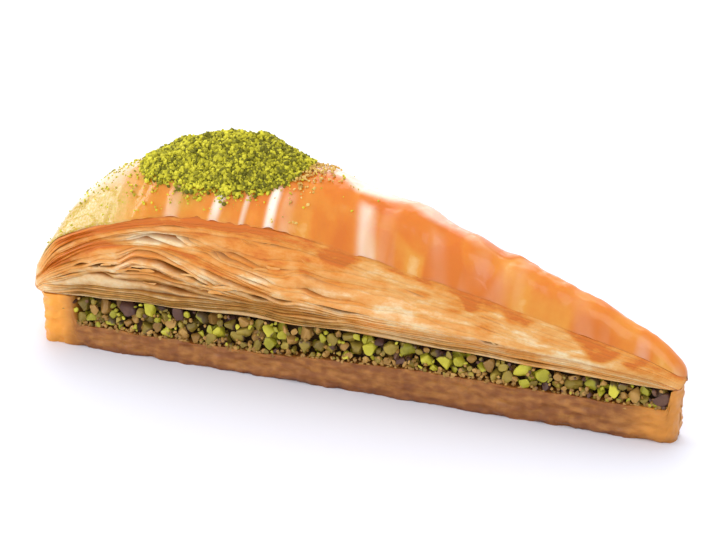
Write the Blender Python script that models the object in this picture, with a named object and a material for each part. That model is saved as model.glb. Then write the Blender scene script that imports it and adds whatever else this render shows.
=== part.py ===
"""A long slice of baklava cut from a round tray: a narrow wedge, broad at the tray's rim and blunt at its tip.

From the bottom up it is a soaked pastry base that turns up at both ends, a layer of chopped pistachio,
a puffed stack of flaky pastry leaves under a domed crust, and a heap of ground pistachio on the crust.
X runs from the rim to the tip, Y across the slice and Z up; the origin is under the middle of the slice.
"""

import math
import random

import bmesh
import bpy
from mathutils import Vector, noise

MM = 0.001

# Plan of the slice
LENGTH = 169.5 * MM  # from the crust's nose at the rim to its nose at the tip
RIM_OVERHANG = 4.2 * MM  # how far the crust stands out past the base there
TIP_OVERHANG = 0.9 * MM
RIM_WIDTH = 42.5 * MM  # across the two cut faces, if they ran on square to the rim
TIP_WIDTH = 6.5 * MM
RIM_ROUND = 6.5 * MM  # length over which the rim's corners round off
TIP_ROUND = 1.7 * MM
CORNER_POWER = 2.5  # 2 is an ellipse, and more is squarer

# Heights above the plate
SLAB_AT_RIM = 6.0 * MM  # top of the base
SLAB_AT_TIP = 8.2 * MM
FILLING_TOP = 13.2 * MM  # top of the chopped pistachio at either end
FILLING_SWELL = 1.8 * MM  # how much higher it is in the middle
NOSE_HEIGHT = 16.2 * MM  # where the crust's ends stand out furthest
EDGE_HEIGHT = 38.5 * MM  # of the crust where it meets the cut faces, at its highest
CREST_HEIGHT = 51.1 * MM  # of the crust's middle, at its highest
TIP_EDGE_HEIGHT = 21 * MM
TIP_CREST_HEIGHT = 26.2 * MM

# Where along the length the crust is highest, as shares of the length from the rim
RIM_SHOULDER = 0.30
CREST_SHOULDER = 0.295
FALL_STARTS = 0.42
TIP_SHOULDER = 0.93
NOSE_REACH = 0.08

GAP = 0.3 * MM  # between one layer and the next
RIM_LIP = 12 * MM  # thickness of the base's turned-up ends
TIP_LIP = 2.8 * MM
LIP_SLOPE = 1.0 * MM

# Relief of the cut faces
LEAF_LEVELS = 22  # heights at which a cut face's leaves are drawn, every other one a gap
LEAF_DEPTH = 1.1 * MM
FACE_LEAN = 1.0 * MM  # how far the cut faces lean in at the crust
POCKET_HEIGHT = 0.05  # of the stack's height
POCKETS = (  # where leaves stand apart on the front cut: along the slice, up the stack, reach, depth
    (0.24, 0.77, 0.06, 2.4 * MM),
    (0.15, 0.32, 0.03, 1.6 * MM),
    (0.27, 0.23, 0.05, 1.4 * MM),
    (0.45, 0.14, 0.06, 1.2 * MM),
)
BASE_LEVELS = 5
BASE_DEPTH = 0.3 * MM
WRINKLE = 0.8 * MM  # height of the crust's wrinkles

# Chopped pistachio
NUT_ROWS = 2
NUT_SPACING = 5.0 * MM
NUT_SIZE = 5.2 * MM
NUT_POINTS = 10
NUT_INSET = 1.5 * MM  # the filling's core stands this far behind the cut faces

# Ground pistachio
HEAP_CENTRE = (-35.5 * MM, -0.4 * MM)
HEAP_LENGTH = 46 * MM
HEAP_WIDTH = 26 * MM
HEAP_DEPTH = 3.9 * MM
HEAP_RIM_SHARE = 0.1  # how deep it is towards the rim, as a share of that
HEAP_GAP = 0.5 * MM  # to the crust's middle surface
HEAP_BRIM = 0.8 * MM  # thickness at the heap's border
HEAP_STEP = 1.45 * MM
HEAP_TOP_POINTS = 24
HEAP_UNDER_POINTS = 8
GRAIN_BUMP = 0.9 * MM
GRAIN_SPACING = 1.9 * MM

RIM_END = -LENGTH / 2
TIP_END = LENGTH / 2
WALL_RIM = RIM_END + RIM_OVERHANG
WALL_TIP = TIP_END - TIP_OVERHANG
LIP_RIM = WALL_RIM + RIM_LIP
LIP_TIP = WALL_TIP - TIP_LIP

random.seed(7)


def lerp(a, b, share):
    """The value that lies at share of the way from a to b."""
    return a + (b - a) * share


def eased(share):
    """A share from 0 to 1, with a soft start and end."""
    share = min(1.0, max(0.0, share))
    return share * share * (3 - 2 * share)


def wave(x, y, z, size, seed=0.0):
    """A smooth random value from about -1 to 1 whose bumps are about size across."""
    return 1.6 * noise.noise(Vector((x / size + seed, y / size - seed, z / size + 2 * seed)))


def rounded(distance, reach, power=CORNER_POWER):
    """From 0 at an end to 1 at reach from it, along a rounded corner."""
    if distance >= reach:
        return 1.0
    left = 1 - max(0.0, distance) / reach
    return max(0.0, 1 - left**power) ** (1 / power)


def along(x):
    """The share of the slice's length that lies on the rim's side of x."""
    return (x - RIM_END) / LENGTH


def half_width(x, rim=WALL_RIM, tip=WALL_TIP, rim_round=RIM_ROUND, tip_round=TIP_ROUND):
    """Half the slice's width at x, for a layer that ends at rim and tip."""
    straight = lerp(RIM_WIDTH, TIP_WIDTH, (x - WALL_RIM) / (WALL_TIP - WALL_RIM)) / 2
    return straight * rounded(x - rim, rim_round) * rounded(tip - x, tip_round, 2.4)


def crust_half_width(x):
    """Half the crust's width at x, with its ends standing past the base."""
    return half_width(x, RIM_END, TIP_END, RIM_ROUND + RIM_OVERHANG, TIP_ROUND + TIP_OVERHANG)


def filling_top(x):
    """Height of the filling's top at x."""
    swell = math.sin(math.pi * min(1.0, max(0.0, along(x)))) ** 2
    return FILLING_TOP + FILLING_SWELL * swell + 0.35 * MM * wave(x, 0, 0, 14 * MM, 3.1)


def slab_top(x):
    """Height of the base's top under the filling at x."""
    share = eased((along(x) - 0.35) / 0.3)
    return lerp(SLAB_AT_RIM, SLAB_AT_TIP, share) + 0.3 * MM * wave(x, 0, 0, 11 * MM, 8.4)


def base_top(x):
    """Height of the base at x, with its turned-up ends."""
    past_lip = min(x - LIP_RIM, LIP_TIP - x)
    return lerp(filling_top(x), slab_top(x), eased(past_lip / LIP_SLOPE))


def crust_height(x, full, rim_shoulder, tip_full, rim_power, fall_power):
    """Height at x of a line along the crust that is full high behind its rim shoulder."""
    s = along(x)
    fall = max(0.0, (s - FALL_STARTS) / (TIP_SHOULDER - FALL_STARTS))
    level = full - (full - tip_full) * fall**fall_power
    rim_rise = rounded(s, rim_shoulder, rim_power) * lerp(0.3, 1.0, eased(s / NOSE_REACH))
    tip_rise = rounded(1 - s, 1 - TIP_SHOULDER, 2.0)
    return NOSE_HEIGHT + (level - NOSE_HEIGHT) * rim_rise * tip_rise


def edge_height(x):
    """Height of the crust at the cut faces."""
    return crust_height(x, EDGE_HEIGHT, RIM_SHOULDER, TIP_EDGE_HEIGHT, 1.6, 1.12)


def crown(x, across):
    """Height of the crust at x, where across runs from -1 at one cut face to 1 at the other."""
    edge = edge_height(x)
    crest = crust_height(x, CREST_HEIGHT, CREST_SHOULDER, TIP_CREST_HEIGHT, 1.7, 1.34)
    dome = 1 - abs(across) ** 2.1
    y = across * crust_half_width(x)
    folds = wave(x, 0.35 * y, 0, 9 * MM, 1.7) + 0.6 * wave(x, y, 0, 17 * MM, 5.2)
    calm = min(1.0, (crest - NOSE_HEIGHT) / (12 * MM)) * min(1.0, 3 * (1 - abs(across)))
    return edge + (crest - edge) * dome + WRINKLE * folds * calm


def crust_foot(x):
    """Height of the underside of the flaky stack at x, curling up under its two noses."""
    flat = filling_top(min(WALL_TIP, max(WALL_RIM, x))) + GAP
    past = max(WALL_RIM - x, 0) / RIM_OVERHANG + max(x - WALL_TIP, 0) / TIP_OVERHANG
    curl = 1 - math.sqrt(max(0.0, 1 - min(1.0, past) ** 2))
    return lerp(flat, NOSE_HEIGHT, curl)


def leaf_relief(x, level, side):
    """How far a leaf's edge stands out of the cut face at a level, or its gap stands in."""
    share = level / LEAF_LEVELS
    lean = -FACE_LEAN * share**2
    if level % 2 == 0:
        return lean + 0.35 * MM * wave(x, share * 40 * MM, side, 13 * MM, 2.3)
    opened = 0.45 + 0.75 * wave(x, share * 30 * MM, side, 16 * MM, 6.6)
    pocket = 0.0
    for place, height, reach, depth in POCKETS if side < 0 else ():
        away = ((along(x) - place) / reach) ** 2 + ((share - height) / POCKET_HEIGHT) ** 2
        pocket += depth * math.exp(-away)
    return lean - LEAF_DEPTH * max(0.1, opened) - pocket


def stations(start, end, step, end_step):
    """Places along X from start to end, closer together near both ends."""
    places = []
    x = start
    while x < end:
        places.append(x)
        nearest = min(x - start, end - x)
        x += lerp(end_step, step, eased(nearest / (14 * MM)))
    return places[:-1] + [end] if end - places[-1] < end_step / 2 else places + [end]


def new_object(name, mesh_edit, material, smooth_angle=None):
    """A named object from a bmesh, with its material."""
    mesh = bpy.data.meshes.new(name)
    mesh_edit.to_mesh(mesh)
    mesh_edit.free()
    if smooth_angle is not None:
        mesh.shade_smooth()
        mesh.set_sharp_from_angle(angle=math.radians(smooth_angle))
    mesh.materials.append(material)
    made = bpy.data.objects.new(name, mesh)
    bpy.context.scene.collection.objects.link(made)
    return made


def loft(sections, pointed):
    """A closed bmesh through sections, each a loop of (x, y, z); pointed draws each end to one point."""
    count = len(sections[0])
    bm = bmesh.new()
    bmesh.ops.create_grid(bm, x_segments=len(sections) - 1, y_segments=count, size=1)
    bm.verts.ensure_lookup_table()
    for n, vert in enumerate(bm.verts):
        row, column = divmod(n, len(sections))
        vert.co = Vector(sections[column][row % count])
    if pointed:
        for loop in (sections[0], sections[-1]):
            middle = sum((Vector(p) for p in loop), Vector()) / count
            for vert in bm.verts:
                if abs(vert.co.x - loop[0][0]) < 1e-7:
                    vert.co = middle
    bmesh.ops.remove_doubles(bm, verts=bm.verts, dist=1e-7)
    bmesh.ops.holes_fill(bm, edges=[e for e in bm.edges if e.is_boundary])
    bmesh.ops.triangulate(bm, faces=bm.faces)
    bmesh.ops.recalc_face_normals(bm, faces=bm.faces)
    return bm


def flaky_section(x):
    """The flaky stack cut across at x: up one cut face, over the crust and down the other."""
    half = crust_half_width(x)
    low, high = crust_foot(x), edge_height(x)
    calm = min(1.0, (high - low) / (16 * MM))
    loop = []
    for side in (-1, 1):
        levels = range(LEAF_LEVELS) if side < 0 else reversed(range(LEAF_LEVELS))
        for level in levels:
            out = leaf_relief(x, level, side) * calm if level else -0.4 * MM * calm
            loop.append((x, side * max(0.2 * half, half + out), lerp(low, high, level / LEAF_LEVELS)))
        if side < 0:
            for n in range(-5, 6):
                share = n / 5
                across = math.copysign(abs(share) ** 0.8, share)
                loop.append((x, across * half, crown(x, across)))
    loop.append((x, 0, low))
    return loop


def base_section(x):
    """The base cut across at x."""
    half = half_width(x)
    top = base_top(x)
    loop = []
    for side in (-1, 1):
        levels = range(BASE_LEVELS + 1) if side < 0 else reversed(range(BASE_LEVELS + 1))
        for level in levels:
            share = level / BASE_LEVELS
            ripple = BASE_DEPTH * (0.3 - (level % 2) + 0.8 * wave(x, share * 20 * MM, side, 9 * MM, 4.4))
            loop.append((x, side * (half + ripple * min(1.0, half / (12 * MM))), top * share))
    return loop


def core_section(x):
    """The filling's core cut across at x."""
    half = half_width(x) - NUT_INSET
    low, high = slab_top(x) + GAP, filling_top(x)
    return [(x, -half, low), (x, -half, high), (x, half, high), (x, half, low)]


def chopped_nut(centre, size):
    """One chopped pistachio: the hull of a few points round its centre, kept within the filling's height."""
    bm = bmesh.new()
    stretch = Vector((random.uniform(0.8, 1.35), random.uniform(0.7, 1.0), random.uniform(0.7, 1.05)))
    for n in range(NUT_POINTS):
        rise = 1 - 2 * (n + 0.5) / NUT_POINTS
        turn = n * math.pi * (3 - math.sqrt(5)) + random.uniform(-0.3, 0.3)
        flat = math.sqrt(1 - rise * rise)
        spot = Vector((flat * math.cos(turn), flat * math.sin(turn), rise)) * size / 2
        place = centre + spot * random.uniform(0.88, 1.1) * stretch
        place.z = min(filling_top(place.x) - 0.02 * MM, max(slab_top(place.x) + GAP + 0.02 * MM, place.z))
        bm.verts.new(place)
    hull = bmesh.ops.convex_hull(bm, input=bm.verts)
    bmesh.ops.delete(bm, geom=list(set(hull["geom_interior"] + hull["geom_unused"])), context="VERTS")
    bmesh.ops.recalc_face_normals(bm, faces=bm.faces)
    return bm


def nut_places():
    """Centres and sizes of the chopped nuts that show at the two cut faces."""
    start = LIP_RIM + LIP_SLOPE + GAP + NUT_SIZE / 2
    end = LIP_TIP - LIP_SLOPE - GAP - NUT_SIZE / 2
    count = round((end - start) / NUT_SPACING)
    for side in (-1, 1):
        for row in range(NUT_ROWS):
            for n in range(count + 1):
                x = lerp(start, end, n / count) + random.uniform(-0.9, 0.9) * MM
                x = min(end, max(start, x + (row - 0.5) * NUT_SPACING / 2))
                size = NUT_SIZE * random.uniform(0.72, 1.05)
                share = (row + 0.5) / NUT_ROWS + random.uniform(-0.09, 0.09)
                out = half_width(x) - size * random.uniform(0.36, 0.5)
                yield Vector((x, side * out, lerp(slab_top(x), filling_top(x), share))), size


def make_filling(material):
    """The filling: a plain core with the chopped nuts that show fused on."""
    places = stations(LIP_RIM + LIP_SLOPE + GAP, LIP_TIP - LIP_SLOPE - GAP, 6 * MM, 2 * MM)
    filling = new_object("pistachio_filling", loft([core_section(x) for x in places], False), material)
    nuts = bpy.data.collections.new("nuts_to_fuse")
    bpy.context.scene.collection.children.link(nuts)
    for centre, size in nut_places():
        mesh = bpy.data.meshes.new("nut")
        bm = chopped_nut(centre, size)
        bm.to_mesh(mesh)
        bm.free()
        nuts.objects.link(bpy.data.objects.new("nut", mesh))
    fuse(filling, nuts)
    return filling


def fuse(body, pieces):
    """Joins a collection's solids to body in one Boolean union, and removes them."""
    union = body.modifiers.new("fuse", "BOOLEAN")
    union.operation = "UNION"
    union.operand_type = "COLLECTION"
    union.collection = pieces
    union.solver = "MANIFOLD"
    graph = bpy.context.evaluated_depsgraph_get()
    joined = bpy.data.meshes.new_from_object(body.evaluated_get(graph))
    body.modifiers.clear()
    body.data = joined
    for piece in list(pieces.objects):
        bpy.data.objects.remove(piece)
    bpy.data.collections.remove(pieces)


def heap_half_width(share):
    """Half the heap's width at a share from -1 to 1 along its half length, uneven as loose grains fall."""
    return HEAP_WIDTH / 2 * math.sqrt(max(0.0, 1 - share * share)) * (1 + 0.16 * wave(share, 0, 0, 0.35, 9.3))


def heap_section(x):
    """The heap cut across at x: over its bumpy top, then back along the crust that it lies on."""
    share = (x - HEAP_CENTRE[0]) / (HEAP_LENGTH / 2)
    reach = heap_half_width(share)
    loop = []
    for n in range(HEAP_TOP_POINTS):
        v = 1 - 2 * n / (HEAP_TOP_POINTS - 1)
        y = HEAP_CENTRE[1] + reach * v
        peak = HEAP_DEPTH * lerp(HEAP_RIM_SHARE, 1, eased((share + 1) / 1.6))
        mound = peak * (1 - v * v) * (1 - share * share) ** 0.75
        bump = GRAIN_BUMP * wave(x, y, mound, GRAIN_SPACING, 4.9)
        lift = HEAP_GAP + HEAP_BRIM + mound + bump * min(1.0, 0.3 + mound / HEAP_DEPTH)
        loop.append((x, y, crown(x, y / crust_half_width(x)) + lift))
    for n in range(HEAP_UNDER_POINTS):
        y = HEAP_CENTRE[1] - reach * (1 - 2 * n / (HEAP_UNDER_POINTS - 1))
        loop.append((x, y, crown(x, y / crust_half_width(x)) + HEAP_GAP))
    return loop


def make_heap(material):
    """The heap of ground pistachio: a low mound, bumpy at the size of its grains, lying on the crust."""
    start = HEAP_CENTRE[0] - 0.995 * HEAP_LENGTH / 2
    end = HEAP_CENTRE[0] + 0.995 * HEAP_LENGTH / 2
    places = stations(start, end, HEAP_STEP, 0.7 * HEAP_STEP)
    return new_object("ground_pistachio", loft([heap_section(x) for x in places], True), material, 50)


def baked(name, colour, roughness):
    """A plain food material of one colour."""
    material = bpy.data.materials.new(name)
    material.use_nodes = True
    shader = material.node_tree.nodes["Principled BSDF"]
    shader.inputs["Base Color"].default_value = (*colour, 1)
    shader.inputs["Roughness"].default_value = roughness
    shader.inputs["Metallic"].default_value = 0
    return material


def main():
    """Clears the scene and makes the slice's four layers."""
    for old in list(bpy.data.objects):
        bpy.data.objects.remove(old)
    soaked = baked("soaked_pastry", (0.33, 0.14, 0.045), 0.4)
    pistachio = baked("pistachio", (0.36, 0.36, 0.06), 0.55)
    leaves = baked("flaky_pastry", (0.73, 0.38, 0.12), 0.35)
    ground = baked("ground_pistachio_green", (0.36, 0.41, 0.04), 0.8)

    walls = stations(WALL_RIM + 0.12 * MM, LIP_RIM, 4 * MM, 0.9 * MM)
    walls += stations(LIP_RIM + LIP_SLOPE, LIP_TIP - LIP_SLOPE, 4 * MM, 2 * MM)
    walls += stations(LIP_TIP, WALL_TIP - 0.12 * MM, 2 * MM, 0.6 * MM)
    new_object("soaked_base", loft([base_section(x) for x in walls], False), soaked, 40)
    make_filling(pistachio)
    crust = stations(RIM_END, TIP_END, 3.3 * MM, 0.9 * MM)
    new_object("flaky_top", loft([flaky_section(x) for x in crust], True), leaves, 40)
    make_heap(ground)


main()
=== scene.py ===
"""A long slice of pistachio baklava on a pale studio floor.

The slice is a narrow wedge cut from a round tray. From the bottom up it has a syrup-soaked base, a layer of
chopped pistachio, a puffed stack of thin pastry leaves, a glazed crust and a heap of ground pistachio.
X runs from the tray's rim to the slice's tip, Y across the slice and Z up, in metres.
"""

import logging
import math
from collections.abc import Callable
from dataclasses import dataclass
from enum import Enum
from functools import partial

import bmesh
import bpy
import numpy as np
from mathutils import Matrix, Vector, noise


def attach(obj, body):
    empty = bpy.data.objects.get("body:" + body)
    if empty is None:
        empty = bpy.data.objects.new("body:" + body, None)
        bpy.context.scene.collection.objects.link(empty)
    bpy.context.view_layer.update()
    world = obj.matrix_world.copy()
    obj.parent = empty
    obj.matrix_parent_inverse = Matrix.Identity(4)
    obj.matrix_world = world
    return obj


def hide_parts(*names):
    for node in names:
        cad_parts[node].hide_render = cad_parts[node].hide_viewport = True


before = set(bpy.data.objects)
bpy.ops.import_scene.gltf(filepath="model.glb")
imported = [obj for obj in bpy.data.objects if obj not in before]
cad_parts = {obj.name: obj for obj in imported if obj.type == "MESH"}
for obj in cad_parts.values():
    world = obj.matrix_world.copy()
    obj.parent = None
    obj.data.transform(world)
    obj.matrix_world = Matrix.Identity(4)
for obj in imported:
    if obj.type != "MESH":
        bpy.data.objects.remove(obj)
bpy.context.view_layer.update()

LOG = logging.getLogger("baklava")
MM = 0.001
LATTICE = np.array([73856093, 19349663, 83492791])
MIXER = 1274126177
HALF_CODE = 32767.5
Array = np.ndarray
Real = float | np.ndarray
Random = np.random.Generator
BMesh = bmesh.types.BMesh
Colour = tuple[float, float, float, float]
Material = bpy.types.Material
Object = bpy.types.Object
Tree = bpy.types.NodeTree
Node = bpy.types.Node
Socket = bpy.types.NodeSocket
Sockets = bpy.types.bpy_prop_collection


class Side(Enum):
    """The two cut faces of the slice."""

    NEAR = -1
    FAR = 1


# Small helpers


def lerp(a: Real, b: Real, share: Real) -> Real:
    """The value, or values, at share of the way from a to b."""
    return a + (b - a) * share


def eased(share: Real) -> Real:
    """Shares clipped to 0 to 1, with a soft start and end."""
    share = np.clip(share, 0, 1)
    return share * share * (3 - 2 * share)


def wave(x: Real, y: Real, z: Real, size: float, seed: float = 0.0) -> Array:
    """Smooth random values from about -1 to 1.

    Args:
        x, y, z: places, in metres, as arrays that broadcast.
        size: distance across a bump, in metres.
        seed: picks another pattern.

    Returns:
        An array of the broadcast shape.
    """
    x, y, z = np.broadcast_arrays(x, y, z)
    spots = zip((x / size + seed).ravel(), (y / size - seed).ravel(), (z / size + 2 * seed).ravel())
    return 1.6 * np.array([noise.noise(spot) for spot in spots]).reshape(x.shape)


def fuzz(x: Real, y: Real, z: Real, size: float, seed: int = 0) -> Array:
    """Quick lattice noise from -1 to 1, for fine relief on large meshes.

    Args:
        x, y, z: places, in metres, as arrays that broadcast.
        size: distance across a bump, in metres.
        seed: picks another pattern.

    Returns:
        An array of the broadcast shape.
    """
    spots = np.stack(np.broadcast_arrays(x, y, z), -1) / size + 17.31 * seed + 401.7
    cell = np.floor(spots).astype(np.int64)
    part = spots - cell
    part = part * part * (3 - 2 * part)
    total = np.zeros(spots.shape[:-1])
    for corner in range(8):
        bits = np.array([corner & 1, corner >> 1 & 1, corner >> 2 & 1])
        code = (cell + bits) @ LATTICE
        code = (code ^ (code >> 13)) * MIXER
        code = (code ^ (code >> 16)) & 0xFFFF
        total += code * np.prod(np.where(bits, part, 1 - part), -1)
    return total / HALF_CODE - 1


def drift(rng: Random, places: Array, spacing: float) -> Array:
    """A smooth random line.

    Args:
        rng: the source of its knots.
        places: where its values are wanted.
        spacing: metres from knot to knot.

    Returns:
        Values from -1 to 1.
    """
    knots = rng.uniform(-1, 1, int(np.ptp(places) / spacing) + 4)
    at = (places - places.min()) / spacing
    low = np.floor(at).astype(int)
    return lerp(knots[low], knots[low + 1], eased(at - low))


def rounded(distance: Array, reach: float, power: float) -> Array:
    """From 0 at an end to 1 at reach from it, along a rounded corner."""
    left = 1 - np.clip(distance, 0, reach) / reach
    return np.maximum(0, 1 - left**power) ** (1 / power)


# The slice's main form


@dataclass(frozen=True)
class SliceForm:
    """The plan, heights and dome that every layer of the slice follows."""

    length: float = 169.5 * MM
    rim_overhang: float = 4.2 * MM
    tip_overhang: float = 0.9 * MM
    rim_width: float = 42.5 * MM
    tip_width: float = 6.5 * MM
    rim_round: float = 6.5 * MM
    tip_round: float = 1.7 * MM
    corner_power: float = 2.5
    tip_power: float = 2.4
    slab_at_rim: float = 6.0 * MM
    slab_at_tip: float = 8.2 * MM
    filling_height: float = 13.2 * MM
    filling_swell: float = 1.8 * MM
    filling_wave: float = 0.35 * MM
    slab_wave: float = 0.3 * MM
    nose_height: float = 16.2 * MM
    edge_full: float = 38.5 * MM
    crest_full: float = 51.1 * MM
    tip_edge: float = 21 * MM
    tip_crest: float = 26.2 * MM
    rim_shoulder: float = 0.30
    crest_shoulder: float = 0.295
    fall_starts: float = 0.42
    tip_shoulder: float = 0.93
    nose_reach: float = 0.08
    gap: float = 0.3 * MM
    rim_lip: float = 12 * MM
    tip_lip: float = 1.3 * MM
    lip_slope: float = 1.0 * MM
    wrinkle: float = 0.8 * MM
    dome_power: float = 2.1
    edge_powers: tuple[float, float] = (1.6, 1.12)
    crest_powers: tuple[float, float] = (1.7, 1.34)
    face_lean: float = 1.0 * MM

    @property
    def rim_end(self) -> float:
        """X of the crust's nose at the rim."""
        return -self.length / 2

    @property
    def tip_end(self) -> float:
        """X of the crust's nose at the tip."""
        return self.length / 2

    @property
    def wall_rim(self) -> float:
        """X of the base's wall at the rim."""
        return self.rim_end + self.rim_overhang

    @property
    def wall_tip(self) -> float:
        """X of the base's wall at the tip."""
        return self.tip_end - self.tip_overhang

    def along(self, x: Array) -> Array:
        """The share of the slice's length on the rim's side of x."""
        return (x - self.rim_end) / self.length

    def half_width(self, x: Array, past: bool = False) -> Array:
        """Half the slice's width.

        Args:
            x: places along the slice.
            past: whether the crust's overhangs count, as they do above the filling.

        Returns:
            Half widths, in metres.
        """
        rim, tip = (self.rim_end, self.tip_end) if past else (self.wall_rim, self.wall_tip)
        rim_round = self.rim_round + (self.rim_overhang if past else 0)
        tip_round = self.tip_round + (self.tip_overhang if past else 0)
        share = (x - self.wall_rim) / (self.wall_tip - self.wall_rim)
        straight = lerp(self.rim_width, self.tip_width, share) / 2
        return (
            straight
            * rounded(x - rim, rim_round, self.corner_power)
            * rounded(tip - x, tip_round, self.tip_power)
        )

    def filling_top(self, x: Array) -> Array:
        """Height of the chopped nuts' top."""
        level = self.filling_height + self.filling_swell * np.sin(np.pi * np.clip(self.along(x), 0, 1)) ** 2
        return level + self.filling_wave * wave(x, 0, 0, 14 * MM, 3.1)

    def slab_top(self, x: Array) -> Array:
        """Height of the base's top under the filling."""
        share = eased((self.along(x) - 0.35) / 0.3)
        return lerp(self.slab_at_rim, self.slab_at_tip, share) + self.slab_wave * wave(x, 0, 0, 11 * MM, 8.4)

    def base_top(self, x: Array) -> Array:
        """Height of the base, with its turned-up ends."""
        past_lip = np.minimum(x - self.wall_rim - self.rim_lip, self.wall_tip - self.tip_lip - x)
        return lerp(self.filling_top(x), self.slab_top(x), eased(past_lip / self.lip_slope))

    def _line(self, x: Array, full: float, shoulder: float, tip_full: float, powers: tuple) -> Array:
        """Height of a line along the crust.

        Args:
            x: places along the slice.
            full: its height behind its shoulder.
            shoulder: share of the length that it takes to rise from the rim.
            tip_full: its height before the tip's shoulder.
            powers: of its rise and of its fall.

        Returns:
            Heights, in metres.
        """
        s = self.along(x)
        fall = np.maximum(0, (s - self.fall_starts) / (self.tip_shoulder - self.fall_starts))
        level = full - (full - tip_full) * fall ** powers[1]
        rise = rounded(s, shoulder, powers[0]) * lerp(0.3, 1.0, eased(s / self.nose_reach))
        rise = rise * rounded(1 - s, 1 - self.tip_shoulder, 2.0)
        return self.nose_height + (level - self.nose_height) * rise

    def edge_height(self, x: Array) -> Array:
        """Height of the crust at the cut faces."""
        return self._line(x, self.edge_full, self.rim_shoulder, self.tip_edge, self.edge_powers)

    def crown(self, x: Array, across: Array) -> Array:
        """Height of the crust.

        Args:
            x: places along the slice.
            across: from -1 at the near cut face to 1 at the far one.

        Returns:
            Heights, in metres.
        """
        edge = self.edge_height(x)
        crest = self._line(x, self.crest_full, self.crest_shoulder, self.tip_crest, self.crest_powers)
        dome = 1 - np.abs(across) ** self.dome_power
        y = across * self.half_width(x, past=True)
        folds = wave(x, 0.35 * y, 0, 9 * MM, 1.7) + 0.6 * wave(x, y, 0, 17 * MM, 5.2)
        calm = np.clip((crest - self.nose_height) / (12 * MM), 0, 1)
        calm = calm * np.clip(3 * (1 - np.abs(across)), 0, 1)
        return edge + (crest - edge) * dome + self.wrinkle * folds * calm

    def on_crust(self, x: Array, y: Array) -> Array:
        """Height of the crust over a place."""
        return self.crown(x, y / self.half_width(x, True))

    def crust_foot(self, x: Array) -> Array:
        """Height of the flaky stack's underside, curling up under its two noses.

        Args:
            x: places along the slice.

        Returns:
            Heights, in metres.
        """
        flat = self.filling_top(np.clip(x, self.wall_rim, self.wall_tip)) + self.gap
        past = np.maximum(self.wall_rim - x, 0) / self.rim_overhang
        past = past + np.maximum(x - self.wall_tip, 0) / self.tip_overhang
        curl = 1 - np.sqrt(np.maximum(0, 1 - np.clip(past, 0, 1) ** 2))
        return lerp(flat, self.nose_height, curl)

    def stations(self, step: float, past: bool, inset: float) -> tuple[Array, Array, Array, Array]:
        """Places along the slice that are evenly spaced round its plan, so that its ends get their share.

        Args:
            step: distance between them along the plan's outline.
            past: whether the crust's overhangs count.
            inset: distance left out at both ends of X.

        Returns:
            x, half width, and the outward normal's x and y on the near side.
        """
        start, end = (self.rim_end, self.tip_end) if past else (self.wall_rim, self.wall_tip)
        fine = lerp(start + inset, end - inset, (1 - np.cos(np.linspace(0, np.pi, 40001))) / 2)
        half = self.half_width(fine, past)
        run = np.concatenate([[0], np.cumsum(np.hypot(np.diff(fine), np.diff(half)))])
        even = np.linspace(0, run[-1], int(run[-1] / step))
        x = np.interp(even, run, fine)
        half = np.interp(even, run, half)
        dx, dh = np.gradient(x), np.gradient(half)
        size = np.hypot(dx, dh)
        return x, half, -dh / size, -dx / size


FORM = SliceForm()


# Meshes


def sleeve(around: int, length: int) -> BMesh:
    """A closed tube whose vertices come ring row by ring row, to be shaped by moving them.

    Args:
        around: vertices round the tube.
        length: vertices along it.

    Returns:
        A bmesh with vertex number row * length + place, where row runs round the tube.
    """
    bm = bmesh.new()
    bmesh.ops.create_grid(bm, x_segments=length - 1, y_segments=around, size=1)
    for n, vert in enumerate(bm.verts):
        row, place = divmod(n, length)
        turn = 2 * math.pi * row / around
        vert.co = (place, math.cos(turn), math.sin(turn))
    verts = list(bm.verts)
    bmesh.ops.weld_verts(bm, targetmap=dict(zip(verts[around * length :], verts[:length])))
    bmesh.ops.holes_fill(bm, edges=[edge for edge in bm.edges if edge.is_boundary])
    bmesh.ops.recalc_face_normals(bm, faces=bm.faces)
    return bm


def repeat(bm: BMesh, count: int) -> None:
    """Copies what a bmesh holds, one whole copy after another.

    Args:
        bm: what to copy.
        count: how many times it holds it in the end.
    """
    once = bpy.data.meshes.new("once")
    bm.to_mesh(once)
    bm.clear()
    bm.from_mesh(once)
    bpy.data.meshes.remove(once)
    sizes = [len(bm.verts), len(bm.edges), len(bm.faces)]
    made = 1
    while made < count:
        more = min(made, count - made)
        kinds = zip((bm.verts, bm.edges, bm.faces), sizes)
        bmesh.ops.duplicate(bm, geom=[part for kind, size in kinds for part in list(kind)[: more * size]])
        made += more


def shaped(name: str, bm: BMesh, places: Array, material: Material) -> Object:
    """Makes an object of a bmesh, with its vertices moved to places.

    Args:
        name: the piece's name.
        bm: its faces. It is freed.
        places: an array of positions, one for each vertex.
        material: its finish.

    Returns:
        The new object, linked to the scene and riding on the slice.
    """
    mesh = bpy.data.meshes.new(name)
    bm.to_mesh(mesh)
    bm.free()
    mesh.vertices.foreach_set("co", np.ascontiguousarray(places, dtype=np.float32).ravel())
    mesh.update()
    mesh.shade_smooth()
    mesh.materials.append(material)
    made = bpy.data.objects.new(name, mesh)
    bpy.context.scene.collection.objects.link(made)
    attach(made, "root")
    faces = sum(len(face.vertices) - 2 for face in mesh.polygons)
    LOG.info("%s: %d triangles", name, faces)
    return made


def turn_out(piece: Object, sharp: float = 62.0) -> None:
    """Turns a closed piece's faces outwards, and keeps its sharp bends crisp.

    Args:
        piece: what to turn.
        sharp: the least bend, in degrees, that stays crisp.
    """
    piece.data.set_sharp_from_angle(angle=math.radians(sharp))
    bm = bmesh.new()
    bm.from_mesh(piece.data)
    if bm.calc_volume(signed=True) < 0:
        bmesh.ops.reverse_faces(bm, faces=bm.faces)
        bm.to_mesh(piece.data)
    bm.free()


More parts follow.
